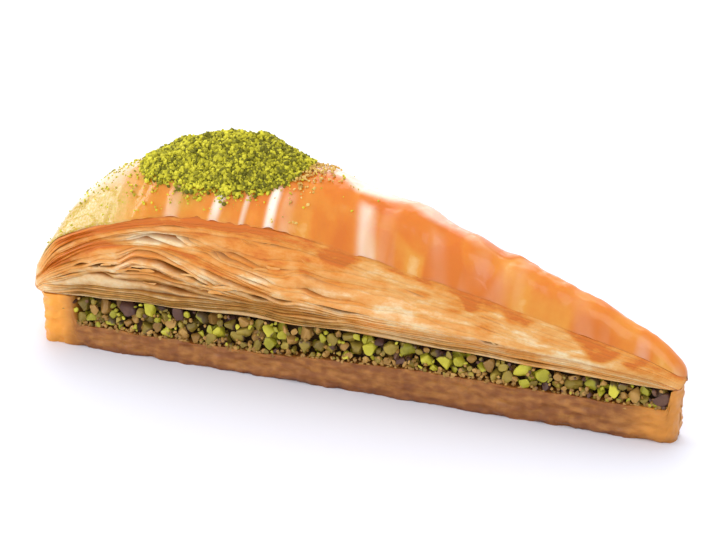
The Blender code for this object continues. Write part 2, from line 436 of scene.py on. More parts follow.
def paint(piece: Object, shares: list[Array]) -> None:
    """Stores three shares for each vertex in the colour attribute that the materials read.

    Args:
        piece: what to paint.
        shares: its red, green and blue.
    """
    layer = piece.data.attributes.new(name="tone", type="FLOAT_COLOR", domain="POINT")
    values = np.stack([*shares, np.ones(len(shares[0]))], -1)
    layer.data.foreach_set("color", values.astype(np.float32).ravel())


def loft(name: str, around: int, rows: list[Array], tones: list[tuple], material: Material) -> Object:
    """Makes one or more closed bodies as one piece, each with a surface that runs through rows of places.

    Args:
        name: the piece's name.
        around: how many rows go round each body.
        rows: every row's places along the slice.
        tones: every row's three shares for the material.
        material: the piece's finish.

    Returns:
        The new object.
    """
    bm = sleeve(around, len(rows[0]))
    repeat(bm, len(rows) // around)
    body = shaped(name, bm, np.concatenate(rows), material)
    turn_out(body)
    paint(body, [np.concatenate([tone[n] for tone in tones]) for n in range(3)])
    return body


def ball(detail: int) -> Array:
    """The vertices of a ball of radius 1.

    Args:
        detail: how finely it is divided.

    Returns:
        An array (vertices, 3).
    """
    bm = bmesh.new()
    bmesh.ops.create_icosphere(bm, subdivisions=detail, radius=1)
    points = np.array([vert.co for vert in bm.verts])
    bm.free()
    return points


def turns(rng: Random, count: int) -> Array:
    """Random rotations.

    Args:
        rng: their source.
        count: how many.

    Returns:
        An array (count, 3, 3).
    """
    axis = rng.normal(size=(count, 4))
    w, a, b, c = (axis / np.linalg.norm(axis, axis=1, keepdims=True)).T
    rows = [
        [1 - 2 * (b * b + c * c), 2 * (a * b - c * w), 2 * (a * c + b * w)],
        [2 * (a * b + c * w), 1 - 2 * (a * a + c * c), 2 * (b * c - a * w)],
        [2 * (a * c - b * w), 2 * (b * c + a * w), 1 - 2 * (a * a + b * b)],
    ]
    return np.array(rows).transpose(2, 0, 1)


def many(name: str, detail: int, points: Array, tones: tuple, material: Material) -> Object:
    """Makes many small closed bits as one piece.

    Args:
        name: the piece's name.
        detail: how finely each ball is divided.
        points: the balls' vertices, as an array (bits, vertices, 3).
        tones: three arrays (bits, vertices) for the material.
        material: the bits' finish.

    Returns:
        The new object.
    """
    bm = bmesh.new()
    bmesh.ops.create_icosphere(bm, subdivisions=detail, radius=1)
    repeat(bm, len(points))
    piece = shaped(name, bm, points.reshape(-1, 3), material)
    paint(piece, [tone.ravel() for tone in tones])
    return piece


def baked_patches(x: Array, side: float, z: Array) -> Array:
    """Shares of deeper baking in patches that run from the crust over its edge on to the cut face.

    Args:
        x: places along the slice.
        side: -1 for the near cut face and 1 for the far one.
        z: distances below the crust's edge, or 0 on the crust.

    Returns:
        Shares from 0 to 1, which fade in behind the heap.
    """
    blots = 0.9 * fuzz(x, side, z, 9 * MM, 36) + 0.5 * fuzz(x, side, z, 3.5 * MM, 37)
    return eased((FORM.along(x) - 0.3) / 0.15) * np.clip(0.45 + blots, 0, 1)


# Finishes


def linear(code: str) -> Colour:
    """An sRGB hex colour as linear red, green, blue and alpha."""
    parts = [int(code[n : n + 2], 16) / 255 for n in (1, 3, 5)]
    return (*[p / 12.92 if p <= 0.04045 else ((p + 0.055) / 1.055) ** 2.4 for p in parts], 1.0)


def feed(tree: Tree, node: Node, inputs: dict) -> None:
    """Sets a node's inputs.

    Args:
        tree: the material's nodes.
        node: the node to feed.
        inputs: for each input, a value, a hex colour, a socket, or a node whose first output in use feeds it.
    """
    for name, value in inputs.items():
        if isinstance(value, bpy.types.Node):
            value = next(socket for socket in value.outputs if socket.enabled)
        if isinstance(value, bpy.types.NodeSocket):
            tree.links.new(value, node.inputs[name])
        else:
            node.inputs[name].default_value = linear(value) if isinstance(value, str) else value


def add_node(tree: Tree, kind: str, inputs: dict, **settings: object) -> Node:
    """Adds a node to a material.

    Args:
        tree: the material's nodes.
        kind: the node's type, after the words ShaderNode.
        inputs: what feed takes.
        settings: the node's properties; stops gives a colour ramp's hex colours by their places.

    Returns:
        The new node.
    """
    node = tree.nodes.new("ShaderNode" + kind)
    for name, value in settings.items():
        if name == "stops":
            ramp = node.color_ramp
            while len(ramp.elements) < len(value):
                ramp.elements.new(1.0)
            for element, (place, colour) in zip(ramp.elements, value.items()):
                element.position = place
                element.color = linear(colour)
        else:
            setattr(node, name, value)
    feed(tree, node, inputs)
    return node


@dataclass(frozen=True)
class Finish:
    """What the slice's finishes share: a Principled surface, with its uniform values on its own sockets."""

    name: str
    roughness: float = 0.4
    ior: float = 1.45
    coat: float = 0.0
    coat_roughness: float = 0.1
    subsurface: float = 0.0
    scatter: tuple[float, float, float] = (1.0, 0.5, 0.2)
    scatter_scale: float = 1.5 * MM
    bump: float = 0.0
    bump_height: float = 0.2 * MM

    def start(self) -> tuple[Material, Tree, Node]:
        """Makes the material and sets its uniform values.

        Returns:
            The material, its nodes and its Principled shader.
        """
        material = bpy.data.materials.new(self.name)
        material.use_nodes = True
        tree = material.node_tree
        shader = tree.nodes["Principled BSDF"]
        uniform = {
            "Roughness": self.roughness,
            "IOR": self.ior,
            "Coat Weight": self.coat,
            "Coat Roughness": self.coat_roughness,
            "Subsurface Weight": self.subsurface,
            "Subsurface Radius": self.scatter,
            "Subsurface Scale": self.scatter_scale,
        }
        feed(tree, shader, uniform)
        return material, tree, shader

    def pattern(self, add: Callable, tone: Sockets, spot: Socket) -> tuple[Node, Node]:
        """Adds the finish's own nodes.

        Args:
            add: adds a node to the material.
            tone: the piece's three painted shares, as Red, Green and Blue.
            spot: the place on the slice.

        Returns:
            The nodes that give the base colour and the fine relief.
        """
        raise NotImplementedError

    def material(self) -> Material:
        """Builds the material from the finish's own pattern.

        Returns:
            The new material.
        """
        material, tree, shader = self.start()
        add = partial(add_node, tree)
        tone = add("SeparateColor", {"Color": add("Attribute", {}, attribute_name="tone")}).outputs
        colour, relief = self.pattern(add, tone, add("TexCoord", {}).outputs["Object"])
        bump = add("Bump", {"Strength": self.bump, "Distance": self.bump_height, "Height": relief})
        feed(tree, shader, {"Base Color": colour, "Normal": bump})
        return material


@dataclass(frozen=True)
class GlazedCrust(Finish):
    """Top leaves of pastry, brushed with butter, baked amber and glazed with sugar syrup.

    The syrup gives a clear wet gloss over a translucent orange, deeper where the leaf baked darker. The
    folds' ridges are painted pale as highlights and the crest gets a pale painted sheen, and ground pistachio
    dusts the crust round the heap.
    """

    name: str = "glazed_filo_crust"
    roughness: float = 0.3
    ior: float = 1.32
    coat: float = 0.45
    coat_roughness: float = 0.08
    subsurface: float = 0.2
    scatter: tuple[float, float, float] = (1.0, 0.42, 0.12)
    scatter_scale: float = 1.6 * MM
    bump: float = 0.2
    pale: str = "#F6C27E"
    light: str = "#E6922E"
    amber: str = "#E07C18"
    deep: str = "#DA7012"
    # Also the colour of the painted fold highlights and crest sheen.
    dry: str = "#FFF0DA"
    dust: str = "#C4A01E"
    mottle: float = 5 * MM
    speck: float = 0.6 * MM
    ripple: float = 1.1 * MM

    def pattern(self, add: Callable, tone: Sockets, spot: Socket) -> tuple[Node, Node]:
        """Adds the finish's own nodes, where tone holds bake, paleness with painted highlights and sheen, and
        pistachio dust.

        Args:
            add, tone, spot: as in Finish.

        Returns:
            The nodes that give the base colour and the fine relief.
        """
        mottle = add("TexNoise", {"Vector": spot, "Scale": 1 / self.mottle, "Detail": 4.0, "Roughness": 0.6})
        bake = add("Math", {0: mottle, 1: 0.5, 2: tone["Red"]}, operation="MULTIPLY_ADD")
        stops = {0.25: self.pale, 0.5: self.light, 0.75: self.amber, 1.0: self.deep}
        baked = add("ValToRGB", {"Fac": bake}, stops=stops)
        # Painted highlights and sheen: the green share mixes in the pale colour, along with the crust's real
        # paleness.
        pale_and_painted_sheen = add("Mix", {"Factor": tone["Green"], "A": baked, "B": self.dry}, data_type="RGBA")
        speck = add("TexNoise", {"Vector": spot, "Scale": 1 / self.speck, "Detail": 2.0})
        shown = add("Math", {0: speck, 1: tone["Blue"]}, operation="MULTIPLY", use_clamp=True)
        dusted = add("Mix", {"Factor": shown, "A": pale_and_painted_sheen, "B": self.dust}, data_type="RGBA")
        return dusted, add("TexNoise", {"Vector": spot, "Scale": 1 / self.ripple, "Detail": 3.0})


@dataclass(frozen=True)
class BakedLeaf(Finish):
    """Thin leaves of filo, brushed with butter and syrup: dry and golden, and orange by the crust.

    Syrup has soaked up from the nuts, so the lowest leaves look tan and olive. Where a leaf lies inside the
    stack, a darker brown is painted as the shade in the gaps between leaves.
    """

    name: str = "baked_filo_leaf"
    roughness: float = 0.42
    ior: float = 1.38
    coat: float = 0.15
    coat_roughness: float = 0.25
    subsurface: float = 0.2
    scatter_scale: float = 1.2 * MM
    bump: float = 0.45
    cream: str = "#F6DCAC"
    peach: str = "#EBAA5E"
    golden: str = "#E28C2E"
    orange: str = "#D26C10"
    tan: str = "#B0843C"
    brown: str = "#866026"
    gap_shade: str = "#96591E"
    mottle: float = 2.5 * MM
    flake: float = 0.9 * MM
    squash: tuple[float, float, float] = (0.4, 0.4, 1.0)

    def pattern(self, add: Callable, tone: Sockets, spot: Socket) -> tuple[Node, Node]:
        """Adds the finish's own nodes, where tone holds bake, soaking and how far a leaf lies out of the
        painted gap shade.

        Args:
            add, tone, spot: as in Finish.

        Returns:
            The nodes that give the base colour and the fine relief.
        """
        mottle = add("TexNoise", {"Vector": spot, "Scale": 1 / self.mottle, "Detail": 4.0, "Roughness": 0.65})
        flat = add("Mapping", {"Vector": spot, "Scale": self.squash})
        flaky = add("TexNoise", {"Vector": flat, "Scale": 1 / self.flake, "Detail": 5.0, "Roughness": 0.7})
        streaked = add("Math", {0: flaky, 1: 0.7, 2: tone["Red"]}, operation="MULTIPLY_ADD")
        level = add("Math", {0: streaked, 1: -0.35}, operation="ADD")
        bake = add("Math", {0: mottle, 1: 0.3, 2: level}, operation="MULTIPLY_ADD")
        stops = {0.1: self.cream, 0.42: self.peach, 0.75: self.golden, 1.0: self.orange}
        dry = add("ValToRGB", {"Fac": bake}, stops=stops)
        wet = add("ValToRGB", {"Fac": mottle}, stops={0.35: self.tan, 0.65: self.brown})
        mixed = add("Mix", {"Factor": tone["Green"], "A": dry, "B": wet}, data_type="RGBA")
        # Painted shade: the gap colour is mixed in where a leaf lies inside the stack.
        return add("Mix", {"Factor": tone["Blue"], "A": self.gap_shade, "B": mixed}, data_type="RGBA"), flaky


@dataclass(frozen=True)
class SoakedPastry(Finish):
    """The bottom leaves, pressed together and soaked with syrup until they look like wet brown cake."""

    name: str = "syrup_soaked_pastry"
    roughness: float = 0.45
    ior: float = 1.38
    coat: float = 0.18
    coat_roughness: float = 0.22
    subsurface: float = 0.2
    scatter: tuple[float, float, float] = (1.0, 0.4, 0.12)
    bump: float = 0.5
    bump_height: float = 0.25 * MM
    light: str = "#AE7232"
    middle: str = "#8E5420"
    dark: str = "#6A3412"
    end: str = "#F4A238"
    flake: float = 0.9 * MM
    squash: tuple[float, float, float] = (0.35, 0.35, 1.0)

    def pattern(self, add: Callable, tone: Sockets, spot: Socket) -> tuple[Node, Node]:
        """Adds the finish's own nodes, where tone holds darkness and nearness to an end.

        Args:
            add, tone, spot: as in Finish.

        Returns:
            The nodes that give the base colour and the fine relief.
        """
        flat = add("Mapping", {"Vector": spot, "Scale": self.squash})
        mottle = add("TexNoise", {"Vector": flat, "Scale": 1 / self.flake, "Detail": 5.0, "Roughness": 0.7})
        depth = add("Math", {0: mottle, 1: 0.7, 2: tone["Red"]}, operation="MULTIPLY_ADD")
        wet = add("ValToRGB", {"Fac": depth}, stops={0.25: self.light, 0.55: self.middle, 1.0: self.dark})
        return add("Mix", {"Factor": tone["Green"], "A": wet, "B": self.end}, data_type="RGBA"), mottle


@dataclass(frozen=True)
class NutMeat(Finish):
    """Cut pistachio, moist with syrup: a waxy flesh in two tones, with dark purple skin on its outside."""

    name: str = "pistachio_meat"
    roughness: float = 0.45
    ior: float = 1.36
    coat: float = 0.12
    coat_roughness: float = 0.15
    subsurface: float = 0.15
    scatter: tuple[float, float, float] = (0.8, 0.8, 0.2)
    scatter_scale: float = 1.0 * MM
    bump: float = 0.35
    bump_height: float = 0.15 * MM
    pale: str = "#D2CC5A"
    main: str = "#A5A62C"
    dark: str = "#5F6420"
    skin: str = "#46292A"
    patch: float = 3 * MM
    grain: float = 0.6 * MM

    def pattern(self, add: Callable, tone: Sockets, spot: Socket) -> tuple[Node, Node]:
        """Adds the finish's own nodes, where tone holds each nut's shade and where its skin is.

        Args:
            add, tone, spot: as in Finish.

        Returns:
            The nodes that give the base colour and the fine relief.
        """
        mottle = add("TexNoise", {"Vector": spot, "Scale": 1 / self.patch, "Detail": 4.0, "Roughness": 0.6})
        shade = add("Math", {0: mottle, 1: 0.7, 2: tone["Red"]}, operation="MULTIPLY_ADD")
        flesh = add("ValToRGB", {"Fac": shade}, stops={0.2: self.pale, 0.6: self.main, 1.0: self.dark})
        skinned = add("Mix", {"Factor": tone["Green"], "A": flesh, "B": self.skin}, data_type="RGBA")
        return skinned, add("TexNoise", {"Vector": spot, "Scale": 1 / self.grain, "Detail": 3.0})


class Nut(Enum):
    """The kinds of chopped piece in the filling.

    Each has a name, three colours, its share of the pieces, the share that has skin, and how rough it is.
    """

    GREEN = ("pistachio_green", "#DACE42", "#ACA42A", "#6C6618", 0.34, 0.4, 0.08)
    OLIVE = ("pistachio_olive", "#B69E42", "#8A742A", "#584614", 0.32, 0.6, 0.1)
    SKINNED = ("pistachio_skin", "#8A6440", "#5E3E30", "#38201A", 0.13, 1.0, 0.08)
    CRUMB = ("pistachio_crumb", "#C89C54", "#A27838", "#6E4E1E", 0.21, 0.0, 0.26)

    def finish(self) -> NutMeat:
        """This kind's finish."""
        name, pale, main, dark = self.value[:4]
        return NutMeat(name=name, pale=pale, main=main, dark=dark)

    @property
    def share(self) -> float:
        """This kind's share of the pieces."""
        return self.value[4]

    @property
    def skin(self) -> float:
        """The share of this kind's pieces that still have skin on them."""
        return self.value[5]

    @property
    def rough(self) -> float:
        """How far this kind's surface stands in and out, as a share of a piece's radius."""
        return self.value[6]


# The slice's layers


@dataclass
class SoakedBase:
    """The bottom pastry with its turned-up ends."""

    step: float = 0.6 * MM
    levels: int = 22
    relief: float = 0.45 * MM
    layer: float = 0.9 * MM
    raised: float = 0.2 * MM
    undercut: float = 0.4 * MM

    def build(self, material: Material) -> Object:
        """Makes the base as one closed body with layered, ragged walls.

        Args:
            material: its finish.

        Returns:
            The new object.
        """
        x, half, nx, ny = FORM.stations(self.step, False, 0.003 * MM)
        outer = np.maximum(eased((FORM.wall_rim - x) / MM), eased((x - FORM.wall_tip) / MM))
        top = FORM.base_top(x) + self.raised * outer
        end = eased(2.1 - (x - FORM.wall_rim) / (7 * MM)) + 0.5 * eased(1.5 - (FORM.wall_tip - x) / (9 * MM))
        share = np.linspace(0, 1, self.levels)
        across = np.linspace(-0.85, 0.85, 5)
        rows = []
        tones = []
        for side in (Side.NEAR, Side.FAR):
            up = share if side is Side.NEAR else share[::-1]
            wall = side.value * half
            for level in up:
                z = top * level
                grown = self.relief * (
                    0.9 * fuzz(x, wall, z * 2.2, 2.4 * MM, 3)
                    + 0.6 * fuzz(x * 0.25, wall * 0.25, z, self.layer, 5)
                    + 0.7 * fuzz(x, wall, z, 0.9 * MM, 6)
                )
                foot = np.clip(1 - level * 4, 0, 1)
                grown = grown + foot * 0.5 * MM * fuzz(x, wall, 0, 3.1 * MM, 8) - foot**3 * self.undercut
                rows.append(np.stack([x + nx * grown, side.value * (half - ny * grown), z], -1))
                dark = 0.1 + 0.35 * foot + 0.2 * fuzz(x * 0.3, wall, z, self.layer, 9)
                dark = dark + 0.16 * fuzz(x, wall, z, 1.3 * MM, 10)
                tones.append((dark + 0 * x, np.clip(end, 0, 1) * (1 - 0.35 * foot), 0 * x))
            if side is Side.NEAR:
                for place in across:
                    rows.append(np.stack([x, place * half, top], -1))
                    tones.append((0.2 + 0 * x, np.clip(end, 0, 1), 0 * x))
        base = loft("soaked_base_dressed", len(rows), rows, tones, material)
        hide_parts("soaked_base")
        return base


@dataclass
class ChoppedFilling:
    """The chopped pistachio between base and leaves: a dark core, soaked crumb painted darker as the shade
    among the pieces, and the pieces that show at the cuts.

    rounds are tries at packing, by longest, shortest and number. seen are the near side's largest nuts, by
    their shares of the slice's length and of the filling's height, their size in millimetres and their kind.
    leanest and fullest bound a piece's three half axes, and cut_places how far from its middle a knife cuts.
    """

    core_inset: float = 3.4 * MM
    core_rows: int = 9
    core_shade: float = 0.45
    step: float = 1.5 * MM
    rounds: tuple[tuple[float, float, int], ...] = (
        (5.2 * MM, 4.2 * MM, 160),
        (4.2 * MM, 3.0 * MM, 800),
        (3.0 * MM, 2.0 * MM, 1200),
        (2.0 * MM, 1.0 * MM, 2600),
    )
    depths: tuple[float, ...] = (0.0, 2.1 * MM)
    seen: tuple[tuple[float, float, float, int], ...] = (
        (0.075, 0.50, 4.6, 1), (0.092, 0.80, 3.4, 2), (0.125, 0.30, 3.6, 0), (0.182, 0.74, 6.2, 2),
        (0.222, 0.82, 4.6, 0), (0.246, 0.18, 4.2, 0), (0.266, 0.80, 4.6, 2), (0.288, 0.45, 4.0, 1),
        (0.372, 0.50, 4.6, 1), (0.464, 0.82, 4.8, 3), (0.505, 0.72, 4.2, 1), (0.560, 0.55, 4.6, 0),
        (0.618, 0.66, 5.0, 0), (0.690, 0.62, 4.4, 0), (0.722, 0.40, 4.0, 0), (0.780, 0.68, 5.0, 0),
        (0.830, 0.30, 3.8, 1), (0.876, 0.58, 4.2, 0), (0.935, 0.50, 4.6, 3), (0.975, 0.50, 4.8, 2),
    )
    edge_crumbs: int = 700
    overlap: float = 0.68
    fine_from: float = 3.0 * MM
    sinks_below: float = 2.2 * MM
    crisp: float = 32.0
    cuts: int = 9
    cut_places: tuple[float, float] = (0.34, 0.74)
    leanest: tuple[float, float, float] = (1.0, 0.74, 0.66)
    fullest: tuple[float, float, float] = (1.25, 0.95, 0.88)
    seed: int = 12

    @property
    def start(self) -> float:
        """X where the filling starts behind the rim's wall."""
        return FORM.wall_rim + FORM.rim_lip + FORM.lip_slope

    @property
    def end(self) -> float:
        """X where the filling ends before the tip's wall."""
        return FORM.wall_tip - FORM.tip_lip - FORM.lip_slope

    def core(self, material: Material) -> Object:
        """Makes the crumbly core behind the pieces, painted dark as the shade among them.

        Args:
            material: its finish.

        Returns:
            The new object.
        """
        x = np.linspace(self.start + FORM.gap, self.end - FORM.gap, int((self.end - self.start) / self.step))
        low, high = FORM.slab_top(x) + 0.1 * MM, FORM.filling_top(x) + 0.1 * MM
        half = FORM.half_width(x)
        half = half - np.minimum(self.core_inset, 0.6 * half)
        rows = []
        for side in (Side.NEAR, Side.FAR):
            share = np.linspace(0, 1, self.core_rows)
            for level in share if side is Side.NEAR else share[::-1]:
                z = lerp(low, high, level)
                y = side.value * (half + 0.5 * MM * fuzz(x, 0, z, 1.6 * MM, 21 + side.value))
                rows.append(np.stack([x, y, z], -1))
        even = (np.full_like(x, self.core_shade), np.zeros_like(x), np.zeros_like(x))
        return loft("filling_core", len(rows), rows, [even] * len(rows), material)

    def darts(self, rng: Random) -> Array:
        """Packs pieces into both cut faces, the largest first.

        Args:
            rng: the source of the places that are tried.

        Returns:
            An array (pieces, 6) with x, z, size, kind or -1 for any, side and depth behind the cut face.
        """
        line = np.linspace(self.start, self.end, 400)
        low, high = FORM.slab_top(line), FORM.filling_top(line)
        kept = []
        for side in Side:
            for depth in self.depths:
                here = np.zeros((0, 4))
                if side is Side.NEAR and depth == 0:
                    x = FORM.rim_end + np.array([piece[0] for piece in self.seen]) * FORM.length
                    level, size, kind = np.array([piece[1:] for piece in self.seen]).T
                    size = size * MM
                    z = lerp(np.interp(x, line, low), np.interp(x, line, high), level)
                    here = np.stack([x, z, size, kind], -1)
                for longest, shortest, tries in self.rounds:
                    for _ in range(tries if depth == 0 or shortest > 2.5 * MM else 0):
                        size = rng.uniform(shortest, longest)
                        room = 0.45 * size
                        x = rng.uniform(self.start - 1.1 * MM + room, self.end + 0.9 * MM - room)
                        bottom, top = np.interp(x, line, low), np.interp(x, line, high)
                        if top - bottom < 0.8 * size:
                            continue
                        z = rng.uniform(bottom + 0.28 * size, top - 0.36 * size)
                        away = np.hypot(here[:, 0] - x, 1.1 * (here[:, 1] - z))
                        if np.all(away > self.overlap * (here[:, 2] + size) / 2):
                            here = np.vstack([here, [x, z, size, -1]])
                kept.append(np.column_stack([here, np.full((len(here), 2), (side.value, depth))]))
        return np.concatenate(kept)

    def seam(self, rng: Random) -> Array:
        """Strews crumbs along the line where the filling meets the base.

        Args:
            rng: the source of their places.

        Returns:
            An array of the form that darts gives.
        """
        x = rng.uniform(self.start, self.end, self.edge_crumbs)
        z = FORM.slab_top(x) + np.abs(rng.normal(-0.2, 1.3, len(x))) * MM - 0.4 * MM
        side = rng.choice([-1, 1], len(x))
        return np.stack([x, z, rng.uniform(0.7, 1.9, len(x)) * MM, 0 * x + 3, side, 0 * x], -1)

    def chop(self, rng: Random, unit: Array, sizes: Array, rough: float) -> tuple[Array, Array]:
        """Cuts balls into chopped pieces.

        Args:
            rng: the source of their shapes.
            unit: the vertices of a ball of radius 1.
            sizes: the pieces' lengths.
            rough: how far their surface stands in and out.

        Returns:
            Points (pieces, vertices, 3) round the origin, and 1 where a knife went through.
        """
        count = len(sizes)
        points = unit[None] * rng.uniform(self.leanest, self.fullest, (count, 3))[:, None]
        cut = np.zeros(points.shape[:2])
        for _ in range(self.cuts):
            way = rng.normal(size=(count, 1, 3))
            way /= np.linalg.norm(way, axis=-1, keepdims=True)
            over = np.maximum(0, (points * way).sum(-1) - rng.uniform(*self.cut_places, (count, 1)))
            points = points - over[..., None] * way
            cut = np.maximum(cut, over > 0)
        own = rng.uniform(0, 50, (count, 1))
        bumps = fuzz(points[..., 0] + own, points[..., 1], points[..., 2], 0.6, 22)
        points = points * (1 + rough * bumps * (1 - 0.6 * cut))[..., None]
        points = np.einsum("nij,nkj->nki", turns(rng, count), points)
        return points * (sizes / 2)[:, None, None], cut

    def build(self) -> list[Object]:
        """Makes the core and, for each kind of chopped nut, one piece of large and one of small bits.

        Returns:
            The new objects.
        """
        rng = np.random.default_rng(self.seed)
        # Painted shade: the core is near-black brown, standing for soaked crumb in the shade deep among the
        # pieces.
        painted_shade_core = NutMeat(
            name="nut_core_painted_shade", roughness=0.9, coat=0.0, pale="#7A5424", main="#4A3010", dark="#261606"
        )
        made = [self.core(painted_shade_core.material())]
        darts, seam = self.darts(rng), self.seam(rng)
        kinds = list(Nut)
        darts = np.concatenate([darts, seam])
        picks = rng.choice(len(kinds), len(darts), p=[kind.share for kind in kinds])
        picks = np.where(darts[:, 3] < 0, picks, darts[:, 3])
        for index, kind in enumerate(kinds):
            finish = kind.finish().material()
            for name, detail, wanted in (
                (kind.value[0], 3, darts[:, 2] >= self.fine_from),
                (kind.value[0] + "_bits", 2, darts[:, 2] < self.fine_from),
            ):
                chosen = darts[(picks == index) & wanted]
                x, z, size, _, side, depth = chosen.T
                points, cut = self.chop(rng, ball(detail), size, kind.rough)
                room = FORM.half_width(x) - depth
                out = room - np.minimum(0.3 * size, 0.8 * room) - rng.uniform(-0.3, 0.55, len(x)) * MM
                points = points + np.stack([x, side * out, z], -1)[:, None]
                px, py, pz = points[..., 0], points[..., 1], points[..., 2]
                line = np.linspace(self.start, self.end, 400)
                sunk = np.where(size < self.sinks_below, 1.2 * MM, 0.4 * MM)[:, None]
                low = np.interp(px, line, FORM.slab_top(line)) - sunk
                high = np.interp(px, line, FORM.filling_top(line)) + 0.2 * MM
                face = FORM.half_width(px) - 0.1 * MM + 0.3 * MM * fuzz(px, 0, pz, 1.8 * MM, 24)
                past = np.maximum(0, np.abs(py) - face)
                sliced = past > 0
                points = np.stack([px, np.sign(py) * (np.abs(py) - 0.8 * past), np.clip(pz, low, high)], -1)
                skinned = (rng.uniform(0, 1, (len(x), 1)) < kind.skin) * (1 - np.maximum(cut, sliced))
                shade = np.broadcast_to(rng.uniform(0, 0.45, (len(x), 1)), skinned.shape)
                nuts = many(name, detail, points, (shade, 0.85 * skinned, 0 * skinned), finish)
                nuts.data.set_sharp_from_angle(angle=math.radians(self.crisp))
                made.append(nuts)
        for piece in made:
            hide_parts("pistachio_filling")
        return made


@dataclass(frozen=True)
class Band:
    """A run of leaves between two lines of the cut face.

    swell tells how unevenly thick its leaves are and stray how far their edges stand in and out.
    """

    leaves: int
    swell: float
    stray: float


@dataclass(frozen=True)
class Opening:
    """A lens-shaped gap between two leaves, by its shares of the slice's length and the stack's height."""

    place: float
    level: float
    reach: float
    height: float


@dataclass(frozen=True)
class Hollow:
    """A place where the leaves' edges stand back from the cut face, or are painted paler as a lit spot, by
    depth.
    """

    place: float
    level: float
    reach: float
    spread: float
    depth: float

    def share(self, s: Array, level: Array) -> Array:
        """What is left of its depth at shares of the slice's length and of the stack's height."""
        away = -(((s - self.place) / self.reach) ** 2) - ((level - self.level) / self.spread) ** 2
        return self.depth * np.exp(away)


@dataclass(frozen=True)
class Outline:
    """The leaf stack's outline, place by place.

    x and half are its plan and nx and ny the way outwards. foot is the height of its underside, skin the room
    that the crust takes and edge the stack's height at the cut. shrink scales what stands out at the ends,
    wild how far leaves stray, and set_back how far they stand back.
    """

    x: Array
    half: Array
    nx: Array
    ny: Array
    foot: Array
    skin: Array
    edge: Array
    shrink: Array
    wild: Array
    set_back: Array


